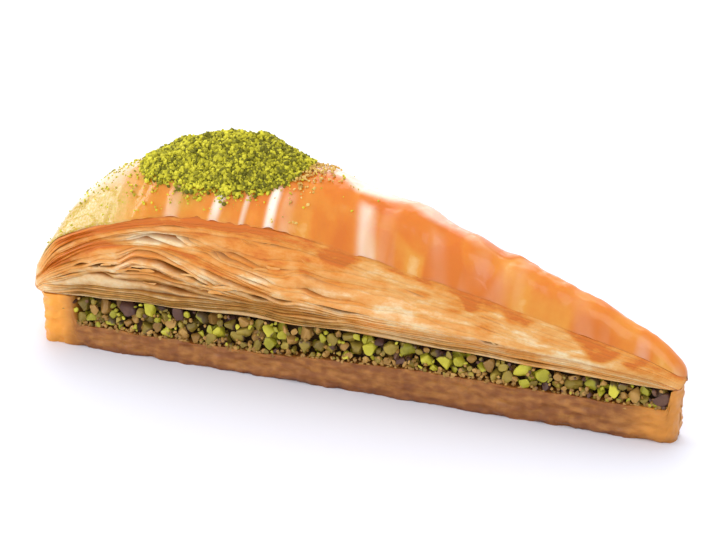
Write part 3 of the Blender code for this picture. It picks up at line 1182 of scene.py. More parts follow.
@dataclass
class LeafStack:
    """The puffed stack of thin pastry leaves between filling and crust.

    strewn_limits are an opening's place, level, reach and, in millimetres, height. shred_limits are a shred's
    length, thickness and height in millimetres.
    """

    bands: tuple[Band, ...] = (Band(6, 0.7, 0.5), Band(9, 1.1, 0.8), Band(7, 1.1, 0.7), Band(4, 0.4, 1.1))
    openings: tuple[Opening, ...] = (
        Opening(0.112, 0.45, 0.014, 0.8 * MM),
        Opening(0.150, 0.38, 0.026, 1.2 * MM),
        Opening(0.196, 0.35, 0.018, 0.9 * MM),
        Opening(0.272, 0.36, 0.052, 1.1 * MM),
        Opening(0.395, 0.27, 0.018, 0.8 * MM),
        Opening(0.430, 0.25, 0.020, 0.7 * MM),
        Opening(0.515, 0.30, 0.036, 0.7 * MM),
        Opening(0.262, 0.90, 0.026, 0.6 * MM),
    )
    hollows: tuple[Hollow, ...] = (
        Hollow(0.24, 0.79, 0.09, 0.07, 1.9 * MM),
        Hollow(0.34, 0.66, 0.06, 0.08, 1.5 * MM),
        Hollow(0.09, 0.58, 0.05, 0.07, 1.3 * MM),
        Hollow(0.15, 0.32, 0.03, 0.05, 1.4 * MM),
        Hollow(0.27, 0.23, 0.05, 0.05, 1.2 * MM),
        Hollow(0.45, 0.14, 0.06, 0.05, 1.0 * MM),
    )
    painted_light_spots: tuple[Hollow, ...] = (
        Hollow(0.23, 0.74, 0.045, 0.07, 1.3),
        Hollow(0.385, 0.42, 0.03, 0.06, 0.5),
    )
    arc_places: tuple[float, ...] = (0.0, 0.05, 0.09, 0.14, 0.26, 0.32, 0.41, 0.5, 1.0)
    arc_levels: tuple[float, ...] = (0.5, 0.55, 0.69, 0.74, 0.66, 0.5, 0.3, 0.27, 0.3)
    glazed_band: float = 3.4 * MM
    dense_band: float = 3.0 * MM
    step: float = 0.55 * MM
    insets: tuple[float, ...] = (0.0, 0.12, 0.35, 1.0, 2.4, 5.0)
    lips: tuple[float, ...] = (0.5, 0.86, 1.0, 1.0, 1.0, 1.0)
    crust: float = 0.5 * MM
    flush: float = 0.25 * MM
    curl: float = 0.62
    curl_reach: float = 0.03
    strewn_openings: int = 12
    strewn_limits: tuple[tuple[float, float], ...] = ((0.05, 0.9), (0.05, 0.85), (0.01, 0.04), (0.3, 0.8))
    thickest_swell: float = 20 * MM
    finest_swell: float = 6 * MM
    shadow_depth: float = 0.8
    least: float = 0.05 * MM
    calm_from: float = 0.42
    shred_limits: tuple[tuple[float, float], ...] = ((1.5, 5.0), (0.08, 0.16), (0.2, 0.55))
    shreds: int = 130
    per_piece: int = 6
    seed: int = 5

    @property
    def count(self) -> int:
        """How many leaves the stack has."""
        return sum(band.leaves for band in self.bands)

    def lines(self, rng: Random, x: Array, room: Array, side: Side) -> list[Array]:
        """The lines that part the bands on one side, as shares of the stack's height.

        Args:
            rng: the source of the far side's differences.
            x: places along the slice.
            room: the stack's height there.
            side: the cut face.

        Returns:
            One array more than there are bands, from 0 to 1.
        """
        low = np.clip(self.dense_band / room, 0.04, 0.3)
        top = np.clip(1 - self.glazed_band / room, 0.62, 0.93)
        arc = np.interp(FORM.along(x), self.arc_places, self.arc_levels)
        if side is Side.FAR:
            arc = arc + 0.08 * drift(rng, x, 24 * MM)
        arc = np.convolve(np.pad(arc, 8, mode="edge"), np.full(17, 1 / 17), "valid")
        return [0 * x, low, np.clip(arc, low + 0.06, top - 0.05), top, 0 * x + 1]

    def edges(self, rng: Random, x: Array, room: Array, side: Side) -> tuple[Array, Array]:
        """Where each leaf begins and ends on one side, as shares of the stack's height.

        Args:
            rng: the source of the pattern.
            x: places along the slice.
            room: the stack's height there.
            side: the cut face.

        Returns:
            The undersides and the upper sides, as arrays (leaves, places).
        """
        s = FORM.along(x)
        lines = self.lines(rng, x, room, side)
        nominal = [
            lerp(lines[n], lines[n + 1], (k + 1) / band.leaves)
            for n, band in enumerate(self.bands)
            for k in range(band.leaves)
        ]
        gaps = np.zeros((self.count, len(x)))
        strewn = []
        for _ in range(self.strewn_openings):
            place, level, reach, height = [rng.uniform(*limits) for limits in self.strewn_limits]
            strewn.append(Opening(place, level, reach, height * MM))
        shift = 0.0 if side is Side.NEAR else 0.13
        for opening in (*self.openings, *strewn):
            at = int(np.argmin(np.abs(s - opening.place - shift)))
            leaf = int(np.argmin([abs(line[at] - opening.level) for line in nominal]))
            lens = np.clip(1 - ((s - opening.place - shift) / opening.reach) ** 2, 0, 1)
            gaps[leaf] = np.maximum(gaps[leaf], opening.height * lens / room)
        under, upper = [], []
        first = 0
        for n, band in enumerate(self.bands):
            own = gaps[first : first + band.leaves]
            first += band.leaves
            span = lines[n + 1] - lines[n]
            own = own * np.minimum(1, 0.6 * span / np.maximum(own.sum(0), 1e-6))
            swells = [
                band.swell * drift(rng, x, self.thickest_swell) + 0.35 * drift(rng, x, self.finest_swell)
                for _ in range(band.leaves)
            ]
            sizes = np.exp(swells)
            sizes = sizes / np.sum(sizes, 0) * (span - own.sum(0))
            ends = lines[n] + np.cumsum(sizes + own, 0)
            under.append(ends - sizes - own)
            upper.append(ends - own)
        return np.concatenate(under), np.concatenate(upper)

    def curled(self, x: Array, level: Array) -> Array:
        """Bends leaves at the noses, where the lower ones end one by one at the stack's underside.

        Args:
            x: places along the slice.
            level: their shares of the stack's height.

        Returns:
            The shares after bending.
        """
        s = FORM.along(x)
        ended = 0.88 * np.exp(-s / self.curl_reach) + 0.5 * np.exp(-(1 - s) / (0.5 * self.curl_reach))
        share = (level - ended) / (1 - ended)
        share = np.where(share > 0, share, np.minimum(-0.05 * share, 0.02))
        bend = lerp(self.curl, 1.0, eased(s / (3 * self.curl_reach)))
        warp = 0.045 * fuzz(x, 0, level * 9 * MM, 11 * MM, 71)
        warp = warp + 0.012 * fuzz(x, 0, level * 9 * MM, 4 * MM, 72)
        warp = warp * np.clip(4 * level * (1 - level), 0, 1) * np.clip((s - 0.06) / 0.05, 0, 1)
        warp = warp * lerp(1.0, 0.4, eased((s - 0.45) / 0.2))
        return np.minimum(np.clip(share, 0, 1) ** bend + warp, 1)

    def smooth(self, x: Array, level: Array, side: Side) -> Array:
        """How far leaves are pressed into one smooth face.

        Args:
            x: places along the slice.
            level: their shares of the stack's height.
            side: the cut face.

        Returns:
            Shares from 0 to 1.
        """
        s = FORM.along(x) - (0 if side is Side.NEAR else 0.06)
        cut = 0.97 * eased((s - 0.42) / 0.16) * eased((level - 0.2) / 0.2)
        plateau = 0.9 * np.exp(-(((s - 0.25) / 0.075) ** 4) - ((level - 0.79) / 0.085) ** 4)
        dense = 0.3 * eased(1 - level / 0.16) * eased((s - 0.3) / 0.2)
        pressed = 0.85 * eased(1.6 * fuzz(x, side.value, level * 15 * MM, 8 * MM, 73) + 0.35)
        pressed = pressed * eased((level - 0.12) / 0.2)
        nose = 0.85 * eased((0.105 - s) / 0.06)
        return np.clip(np.maximum.reduce([cut, plateau, dense, pressed, nose + 0 * level]), 0, 1)

    def hollow(self, x: Array, level: Array, side: Side) -> Array:
        """How far the leaves' edges stand back from a cut face.

        Args:
            x: places along the slice.
            level: their shares of the stack's height.
            side: the cut face.

        Returns:
            Distances, in metres.
        """
        s = FORM.along(x) - (0 if side is Side.NEAR else 0.1)
        return eased((FORM.along(x) - 0.02) / 0.07) * sum(hollow.share(s, level) for hollow in self.hollows)

    def outline(self) -> Outline:
        """The stack's outline.

        Returns:
            Its places, from the rim to the tip.
        """
        x, half, nx, ny = FORM.stations(self.step, True, 0.03 * MM)
        foot = FORM.crust_foot(x)
        skin = 0.75 * self.crust * np.clip(half / (4 * MM), 0, 1)
        edge = np.maximum(FORM.edge_height(x) - skin - foot, self.least)
        shrink = np.clip(half / (7 * MM), 0.02, 1)
        later = FORM.along(x) - self.calm_from
        wild, set_back = lerp(1.0, 0.45, eased(later / 0.2)), lerp(1.0, 0.0, eased(later / 0.12))
        return Outline(x, half, nx, ny, foot, skin, edge, shrink, wild, set_back)

    def tucked(self, at: Outline, side: Side, out: Array, rise: Array) -> Array:
        """One row of a leaf, lowered where it would come through the crust near its edge.

        Args:
            at: the stack's outline.
            side: the cut face.
            out: how far the row stands out from the outline.
            rise: its height over the stack's underside.

        Returns:
            The row's places.
        """
        x = at.x + at.nx * out
        y = side.value * (at.half - at.ny * out)
        half = FORM.half_width(x, True)
        wide = np.maximum(half - FORM.face_lean * np.clip(half / (6 * MM), 0, 1), 0.1 * MM)
        lid = FORM.crown(x, np.clip(y / wide, -1, 1)) - 0.8 * self.crust * np.clip(half / (4 * MM), 0, 1)
        return np.stack([x, y, np.minimum(at.foot + rise, np.maximum(lid, at.foot))], -1)

    def brim(self, rng: Random, at: Outline, band: Band, lines: list, side: Side, leaf: int) -> tuple:
        """One leaf's rows near a cut face, each as its places and its tone.

        Args:
            rng: the source of how the leaf's edge strays.
            at: the stack's outline.
            band: the run that the leaf belongs to.
            lines: its underside and its upper side, as shares of the stack's height.
            side: the cut face.
            leaf: its number from the bottom.

        Returns:
            The front row, the rows of its top and those of its underside, both from the front inwards.
        """
        under, upper = lines
        middle = (under + upper) / 2
        even = self.smooth(at.x, middle, side)
        own = rng.uniform(-0.35, 0.35) * MM + 0.4 * MM * drift(rng, at.x, 9 * MM)
        own = own + 0.14 * MM * drift(rng, at.x, 2.2 * MM)
        stray = band.stray * at.wild * (1 - 0.8 * even) * np.abs(at.ny) ** 4 * own
        tilt = (0.25 + 0.6 * drift(rng, at.x, 22 * MM)) * (upper - under) * at.edge * (1 - even)
        held = eased((1 - middle) * at.edge / self.glazed_band)
        plane = stray - FORM.face_lean * middle**2 - self.hollow(at.x, middle, side)
        plane = plane - self.flush * held * at.set_back
        faces = ([], [])
        for inset, lip in zip(self.insets, self.lips):
            across = side.value * (1 - inset * MM * at.shrink / np.maximum(at.half, 1e-6))
            room = np.maximum(FORM.crown(at.x, across) - at.skin - at.foot, self.least)
            # Painted shade: the deeper a row lies inside the stack, the more of the gaps' dark colour it
            # gets.
            shown = max(0, 1 - inset / self.shadow_depth)
            for face, line, way in zip(faces, (upper, under), (0.5, -0.5)):
                level = self.curled(at.x, lerp(middle, line, lerp(0.985 * lip, 1.0, even)))
                out = (plane + way * tilt * max(0, 1 - inset) - inset * MM) * at.shrink
                places = self.tucked(at, side, out, level * room)
                face.append((places, self.tone(at.x, level, at.edge, shown, side, leaf)))
        out = (plane + 0.07 * MM) * at.shrink
        places = self.tucked(at, side, out, self.curled(at.x, middle) * at.edge)
        return (places, self.tone(at.x, middle, at.edge, 1.0, side, leaf)), *faces

    def build(self, material: Material) -> list[Object]:
        """Makes the leaves, in a few pieces from the bottom up, and their shreds.

        Args:
            material: their finish.

        Returns:
            The new objects.
        """
        rng = np.random.default_rng(self.seed)
        at = self.outline()
        lines = {side: self.edges(rng, at.x, at.edge, side) for side in Side}
        room = np.maximum(FORM.crown(at.x, 0 * at.x) - at.skin - at.foot, self.least)
        rows, tones = [], []
        for n, band in enumerate(band for band in self.bands for _ in range(band.leaves)):
            near, far = [
                self.brim(rng, at, band, [line[n] for line in lines[side]], side, n) for side in Side
            ]
            middles = []
            for which in (1, 0):
                level = (lines[Side.NEAR][which][n] + lines[Side.FAR][which][n]) / 2
                places = np.stack([at.x, 0 * at.x, at.foot + self.curled(at.x, level) * room], -1)
                middles.append((places, self.tone(at.x, level, at.edge, 0.0, Side.NEAR, n)))
            ring = [near[0], *near[1], middles[0], *far[1][::-1], far[0], *far[2], middles[1], *near[2][::-1]]
            rows += [places for places, _ in ring]
            tones += [tone for _, tone in ring]
        around = len(rows) // self.count
        made = []
        for number in range(math.ceil(self.count / self.per_piece)):
            part = slice(number * self.per_piece * around, (number + 1) * self.per_piece * around)
            made.append(loft(f"pastry_leaves_{number + 1}", around, rows[part], tones[part], material))
        made.append(self.flakes(material))
        for piece in made:
            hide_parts("flaky_top")
        return made

    def flakes(self, material: Material) -> Object:
        """Makes the shreds of leaf that the knife left lying against the cut faces.

        Args:
            material: their finish.

        Returns:
            The new object.
        """
        rng = np.random.default_rng(self.seed + 1)
        count = self.shreds
        x = FORM.rim_end + rng.uniform(0.12, 0.94, count) * FORM.length
        level = rng.uniform(0.1, 0.86, count)
        side = np.where(np.arange(count) % 2, -1, 1)
        foot = FORM.crust_foot(x)
        room = FORM.edge_height(x) - foot
        ahead = x + 0.5 * MM
        ahead_foot = FORM.crust_foot(ahead)
        rise = (ahead_foot - foot + level * (FORM.edge_height(ahead) - ahead_foot - room)) / (0.5 * MM)
        size = np.stack([rng.uniform(*limits, count) for limits in self.shred_limits], -1)
        points = ball(3)[None] * (size * MM)[:, None]
        along, thick, up = points[..., 0], points[..., 1], points[..., 2]
        bend = rng.uniform(-0.12, 0.12, (count, 1)) * along**2 / MM
        twist = rng.uniform(-0.5, 0.5, (count, 1)) * along / (2 * MM)
        y = thick + 0.25 * twist * up
        z = up * (1 + 0.4 * fuzz(along, level[:, None], 0, 1.1 * MM, 35)) + bend + rise[:, None] * along
        deep = np.array([self.hollow(x, level, part) for part in (Side.NEAR, Side.FAR)])
        out = FORM.half_width(x, True) - FORM.face_lean * level**2 - 0.35 * MM
        out = out - np.where(side < 0, deep[0], deep[1])
        middle = (foot + level * room)[:, None]
        points = np.stack([x[:, None] + along, side[:, None] * (out[:, None] + y), middle + z], -1)
        lean = FORM.half_width(points[..., 0], True) - FORM.half_width(x, True)[:, None]
        points[..., 1] += side[:, None] * lean
        bake = np.clip(0.2 + 0.6 * level**2 + rng.uniform(-0.15, 0.2, count), 0, 1)
        soaked = np.clip(1.1 - level * room / (3.2 * MM), 0, 1)
        full = np.ones(points.shape[:2])
        return many("leaf_shreds", 3, points, (full * bake[:, None], full * soaked[:, None], full), material)

    def tone(self, x: Array, level: Array, room: Array, shown: float, side: Side, leaf: int) -> tuple:
        """How baked and how soaked a row of a leaf is, and how far it lies out of the painted gap shade.

        Args:
            x: places along the slice.
            level: their shares of the stack's height.
            room: the stack's height there.
            shown: 1 at the leaf's edge and 0 where it lies inside the stack, painted with the gaps' shade.
            side: the cut face.
            leaf: the leaf's number from the bottom.

        Returns:
            Three arrays from 0 to 1.
        """
        s = FORM.along(x) - (0 if side is Side.NEAR else 0.05)
        z = level * room
        arc = np.interp(s, self.arc_places, self.arc_levels)
        blots = baked_patches(x, side.value, (1 - level) * room)
        later = eased((s - 0.3) / 0.2)
        glazed = eased(1.4 + later * (1.5 * blots - 0.6) - (1 - level) * room / self.glazed_band * 1.15)
        glazed = glazed * lerp(0.1, 1.0, eased((s - 0.01) / 0.1)) * lerp(1.0, 0.7 + 0.3 * blots, later)
        along_arc = np.clip((s - 0.02) / 0.03, 0, 1) * np.clip((0.42 - s) / 0.06, 0, 1)
        at_arc = 0.5 * np.exp(-(((level - arc) * room / (0.9 * MM)) ** 2)) * along_arc
        below = np.where(level < arc, np.exp(-(arc - level) * room / (2.2 * MM)), 0)
        below = 0.55 * below * np.clip((0.15 - s) / 0.05, 0, 1) * np.clip((s - 0.02) / 0.03, 0, 1)
        calm = self.smooth(x, level, side)
        patch = lerp(0.13, 0.26, calm) * fuzz(x * 0.8, side.value, z * 1.8, 7 * MM, 31)
        patch = patch + lerp(0.1, 0.24, calm) * fuzz(x * 0.7, side.value, z * 2.5, 2.6 * MM, 32)
        rise = lerp(0.16, 0.23, eased((s - 0.28) / 0.1))
        rise = rise + lerp(0.36, 0.17, eased((s - 0.4) / 0.2)) * eased((level - 0.25) / 0.5)
        own = lerp(0.3, 0.05, calm) * (((leaf * 37) % 11) / 10 - 0.5)
        # Painted light: the lit spots lighten the leaves where a pocket of the cut face catches the light.
        pale = sum(spot.share(s, level) for spot in self.painted_light_spots)
        bake = np.maximum.reduce([rise, 0.95 * glazed, rise + at_arc, rise + below]) + patch + own - pale
        depth = lerp(8.6 * MM, 3.4 * MM, eased((s - 0.3) / 0.25))
        depth = depth + 1.2 * MM * fuzz(x, side.value, 0, 12 * MM, 33)
        fade = np.clip((s - 0.05) / 0.06, 0, 1) * lerp(1.0, 0.6, eased((s - 0.6) / 0.3))
        fade = fade * np.clip((0.985 - s) / 0.03, 0, 1)
        soak = np.clip(1.2 - z / depth, 0, 1) * fade * (1.0 if leaf % 2 else 0.6)
        bake = bake * lerp(0.2, 1.0, eased((s - 0.01) / 0.08))
        ends = np.maximum(eased((0.03 - FORM.along(x)) / 0.015), eased((FORM.along(x) - 0.985) / 0.01))
        return np.clip(bake, 0, 1), soak, np.maximum(shown, ends)


@dataclass(frozen=True)
class Fold:
    """A narrow ridge of the crust that runs down over its edge.

    place is its share of the slice's length, start where it begins between the middle (0) and a cut face (1),
    slant how far its foot lies towards the tip, and pale how strongly a highlight is painted along its ridge.
    """

    place: float
    start: float
    width: float
    height: float
    slant: float
    pale: float


@dataclass
class Crust:
    """The glazed top of the stack, from one cut face over the dome to the other.

    A blister is given by its shares along and across the slice, and its radius and height in millimetres.
    patches are the torn parts of the topmost leaf, spread patch_spread millimetres from the middle.
    """

    folds: tuple[Fold, ...] = (
        Fold(0.262, 0.45, 1.8 * MM, 0.35 * MM, -2.0 * MM, 0.35),
        Fold(0.330, 0.50, 1.2 * MM, 0.45 * MM, -3.5 * MM, 1.0),
        Fold(0.370, 0.60, 0.6 * MM, 0.30 * MM, -1.0 * MM, 0.8),
        Fold(0.410, 0.45, 1.2 * MM, 0.50 * MM, 0.6 * MM, 1.0),
        Fold(0.432, 0.50, 1.6 * MM, 0.25 * MM, 1.0 * MM, 0.2),
        Fold(0.550, 0.35, 2.2 * MM, 0.35 * MM, 4.0 * MM, 0.6),
        Fold(0.575, 0.30, 2.2 * MM, 0.30 * MM, -1.0 * MM, 0.1),
        Fold(0.655, 0.30, 2.0 * MM, 0.30 * MM, 4.0 * MM, 0.1),
        Fold(0.745, 0.20, 2.4 * MM, 0.30 * MM, -4.0 * MM, 0.1),
        Fold(0.860, 0.20, 2.2 * MM, 0.25 * MM, 3.0 * MM, 0.1),
    )
    step: float = 0.4 * MM
    columns: int = 104
    under: int = 12
    thick: float = 0.5 * MM
    ripple: float = 0.16 * MM
    tear: float = 0.2 * MM
    patches: int = 80
    patch_spread: tuple[float, float] = (86, 22)
    dust_centre: tuple[float, float] = (-42 * MM, -4 * MM)
    dust_reach: tuple[float, float] = (30 * MM, 16 * MM)
    main_blister: tuple[float, ...] = (0.462, -0.6, 3.3, 0.55)
    blisters: int = 16
    blister_limits: tuple[tuple[float, float], ...] = ((0.12, 0.93), (-0.9, 0.9), (1.6, 3.6), (0.15, 0.45))
    deepest: float = 0.15 * MM
    seed: int = 9

    def relief(self, rng: Random, x: Array, across: Array, y: Array) -> tuple[Array, Array]:
        """Folds, blisters and ripples of the crust.

        Args:
            rng: the source of the strewn blisters.
            x, across, y: places on the crust.

        Returns:
            Heights to add, and the painted highlights along the folds' ridges.
        """
        height = self.ripple * (fuzz(x * 1.5, y * 0.5, 0, 3.2 * MM, 42) + 0.4 * fuzz(x, y, 0, 1.2 * MM, 43))
        height = height + 0.3 * MM * np.clip(fuzz(x, y, 0, 6.5 * MM, 41), -0.3, 1)
        pale = 0 * x
        for fold in self.folds:
            for side in Side:
                middle = FORM.rim_end + (fold.place + (0.05 if side is Side.FAR else 0)) * FORM.length
                away = (x - middle - fold.slant * (np.abs(across) - 0.8)) / fold.width
                ridge = np.exp(-(np.abs(away) ** 3)) * eased((side.value * across - fold.start) / 0.2)
                height = height + fold.height * ridge
                # Painted highlight: each fold's ridge is painted pale, broken up by noise, as the lamps'
                # glint on it.
                highlight_strength = np.clip(0.85 + 0.5 * fuzz(x, y, 0, 2.6 * MM, 44), 0, 1)
                pale = np.maximum(pale, fold.pale * ridge * highlight_strength)
        spots = [self.main_blister]
        spots += [[rng.uniform(*limits) for limits in self.blister_limits] for _ in range(self.blisters)]
        for place, at, radius, rise in spots:
            middle = FORM.rim_end + place * FORM.length
            width = float(FORM.half_width(np.array([middle]), True)[0])
            away = np.hypot(x - middle, y - at * width) / (radius * MM)
            height = height + rise * MM * np.clip(1 - away**2, 0, 1) ** 1.5
        return height, pale

    def build(self, material: Material) -> Object:
        """Makes the crust as one closed shell with wrinkles, blisters and torn top leaves.

        Args:
            material: its finish.

        Returns:
            The new object.
        """
        rng = np.random.default_rng(self.seed)
        x, half, nx, ny = FORM.stations(self.step, True, 0.01 * MM)
        spread = np.linspace(-1, 1, self.columns)
        across = np.sign(spread) * (1 - (1 - np.abs(spread)) ** 1.25)
        grid_x, grid_a = np.meshgrid(x, across)
        grid_y = grid_a * half
        height = FORM.crown(grid_x, grid_a)
        calm = np.clip((height - FORM.nose_height) / (6 * MM), 0, 1)
        bumps, pale = self.relief(rng, grid_x, grid_a, grid_y)
        steps, tone = self.torn(rng, grid_x, grid_y, pale)
        height = height + calm * (np.maximum(bumps, -self.deepest) + steps)
        small = np.clip(half / (6 * MM), 0, 1)
        wild = lerp(1.0, 0.35, eased((FORM.along(x) - 0.4) / 0.15))
        ragged = 0.28 * MM * drift(rng, x, 7 * MM) + 0.2 * MM * drift(rng, x, 2.2 * MM)
        ragged = ragged * wild * np.abs(ny) ** 3
        edge_out = (ragged - FORM.face_lean) * small
        px = grid_x + nx * edge_out * np.abs(grid_a) ** 3
        py = np.sign(grid_a) * (np.abs(grid_y) - ny * edge_out * np.abs(grid_a) ** 3)
        rows = list(np.stack([px, py, height], -1))
        tones = list(zip(*tone))
        thin = self.thick * np.clip(half / (4 * MM), 0.02, 1)
        for place in np.linspace(0.999, -0.999, self.under):
            k = int(round(float(np.interp(place, across, np.arange(self.columns)))))
            rows.append(np.stack([px[k], py[k], height[k] - thin * calm[k] - 0.02 * MM], -1))
            tones.append(tones[k])
        piece = loft("glazed_crust", len(rows), rows, tones, material)
        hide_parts("flaky_top")
        return piece

    def torn(self, rng: Random, x: Array, y: Array, pale: Array) -> tuple[Array, tuple]:
        """Where the topmost leaf is torn away or doubled, as height steps and as tones.

        Args:
            rng: the source of the patches.
            x, y: places on the crust.
            pale: the painted highlights along the folds' ridges.

        Returns:
            Heights to add, and the bake, the paleness with the painted sheen and fold highlights, and the
            dust shares.
        """
        s = FORM.along(x)
        wx = x + 2.6 * MM * fuzz(x, y, 0, 5 * MM, 51)
        wy = y + 2.6 * MM * fuzz(x, y, 0, 5 * MM, 52)
        seeds = np.stack([rng.uniform(-far, far, self.patches) * MM for far in self.patch_spread], -1)
        rank = rng.uniform(0, 1, self.patches)
        away = np.array([np.hypot((wx - sx) * 0.75, wy - sy) for sx, sy in seeds])
        weight = np.exp((away.min(0) - away) / (0.35 * MM))
        value = np.einsum("n,nij->ij", rank, weight) / weight.sum(0)
        steps = self.tear * (eased((value - 0.5) / 0.1) + 0.5 * eased((value - 0.2) / 0.1))
        base = lerp(0.12, 0.42, eased((s - 0.1) / 0.14)) + 0.06 * eased((s - 0.4) / 0.2)
        bake = base + 0.05 + lerp(0.2, 0.62, eased((s - 0.3) / 0.2)) * (value - 0.5)
        bake = bake + 0.2 * fuzz(x, y, 0, 6 * MM, 53)
        for side in Side:
            reach = eased((side.value * y / FORM.half_width(x, True) - 0.55) / 0.4)
            bake = bake + reach * (0.85 * baked_patches(x, side.value, 0 * x) - 0.2)
        dry = 0.72 * eased((0.21 - s) / 0.12) * lerp(0.3, 1.0, eased((s - 0.02) / 0.06))
        dry = dry * lerp(1.0, 0.35, eased(y / (12 * MM)))
        dry = dry + 0.5 * np.clip(fuzz(x * 1.4, y * 0.5, 0, 6 * MM, 54) - 0.35, 0, 1)
        # Painted sheen: a pale band over the crest's far half stands in for the back lamp's reflection, and
        # joins the paleness.
        sheen = eased((s - 0.37) / 0.05) * eased((0.8 - s) / 0.3) * eased((12 * MM - y) / (7 * MM))
        sheen = sheen * eased((y + 3.5 * MM + 1.6 * MM * fuzz(x, y, 0, 6 * MM, 57)) / (2.4 * MM))
        dry = np.maximum(dry, 0.85 * sheen * np.clip(0.85 + 0.35 * fuzz(x, y, 0, 8 * MM, 56), 0, 1))
        away_x = (x - self.dust_centre[0]) / self.dust_reach[0]
        away_y = (y - self.dust_centre[1]) / self.dust_reach[1]
        heap = np.exp(-(away_x**2) - away_y**2)
        near_edge = np.exp(-(((s - 0.11) / 0.07) ** 2)) * eased((-y - 9.5 * MM) / (6 * MM))
        dust = np.clip(1.3 * heap + 3.0 * near_edge + 0.6 * fuzz(x, y, 0, 5 * MM, 55) - 0.5, 0, 1.7)
        return steps, (np.clip(bake, 0, 1), np.clip(np.maximum(pale, dry), 0, 1), dust)


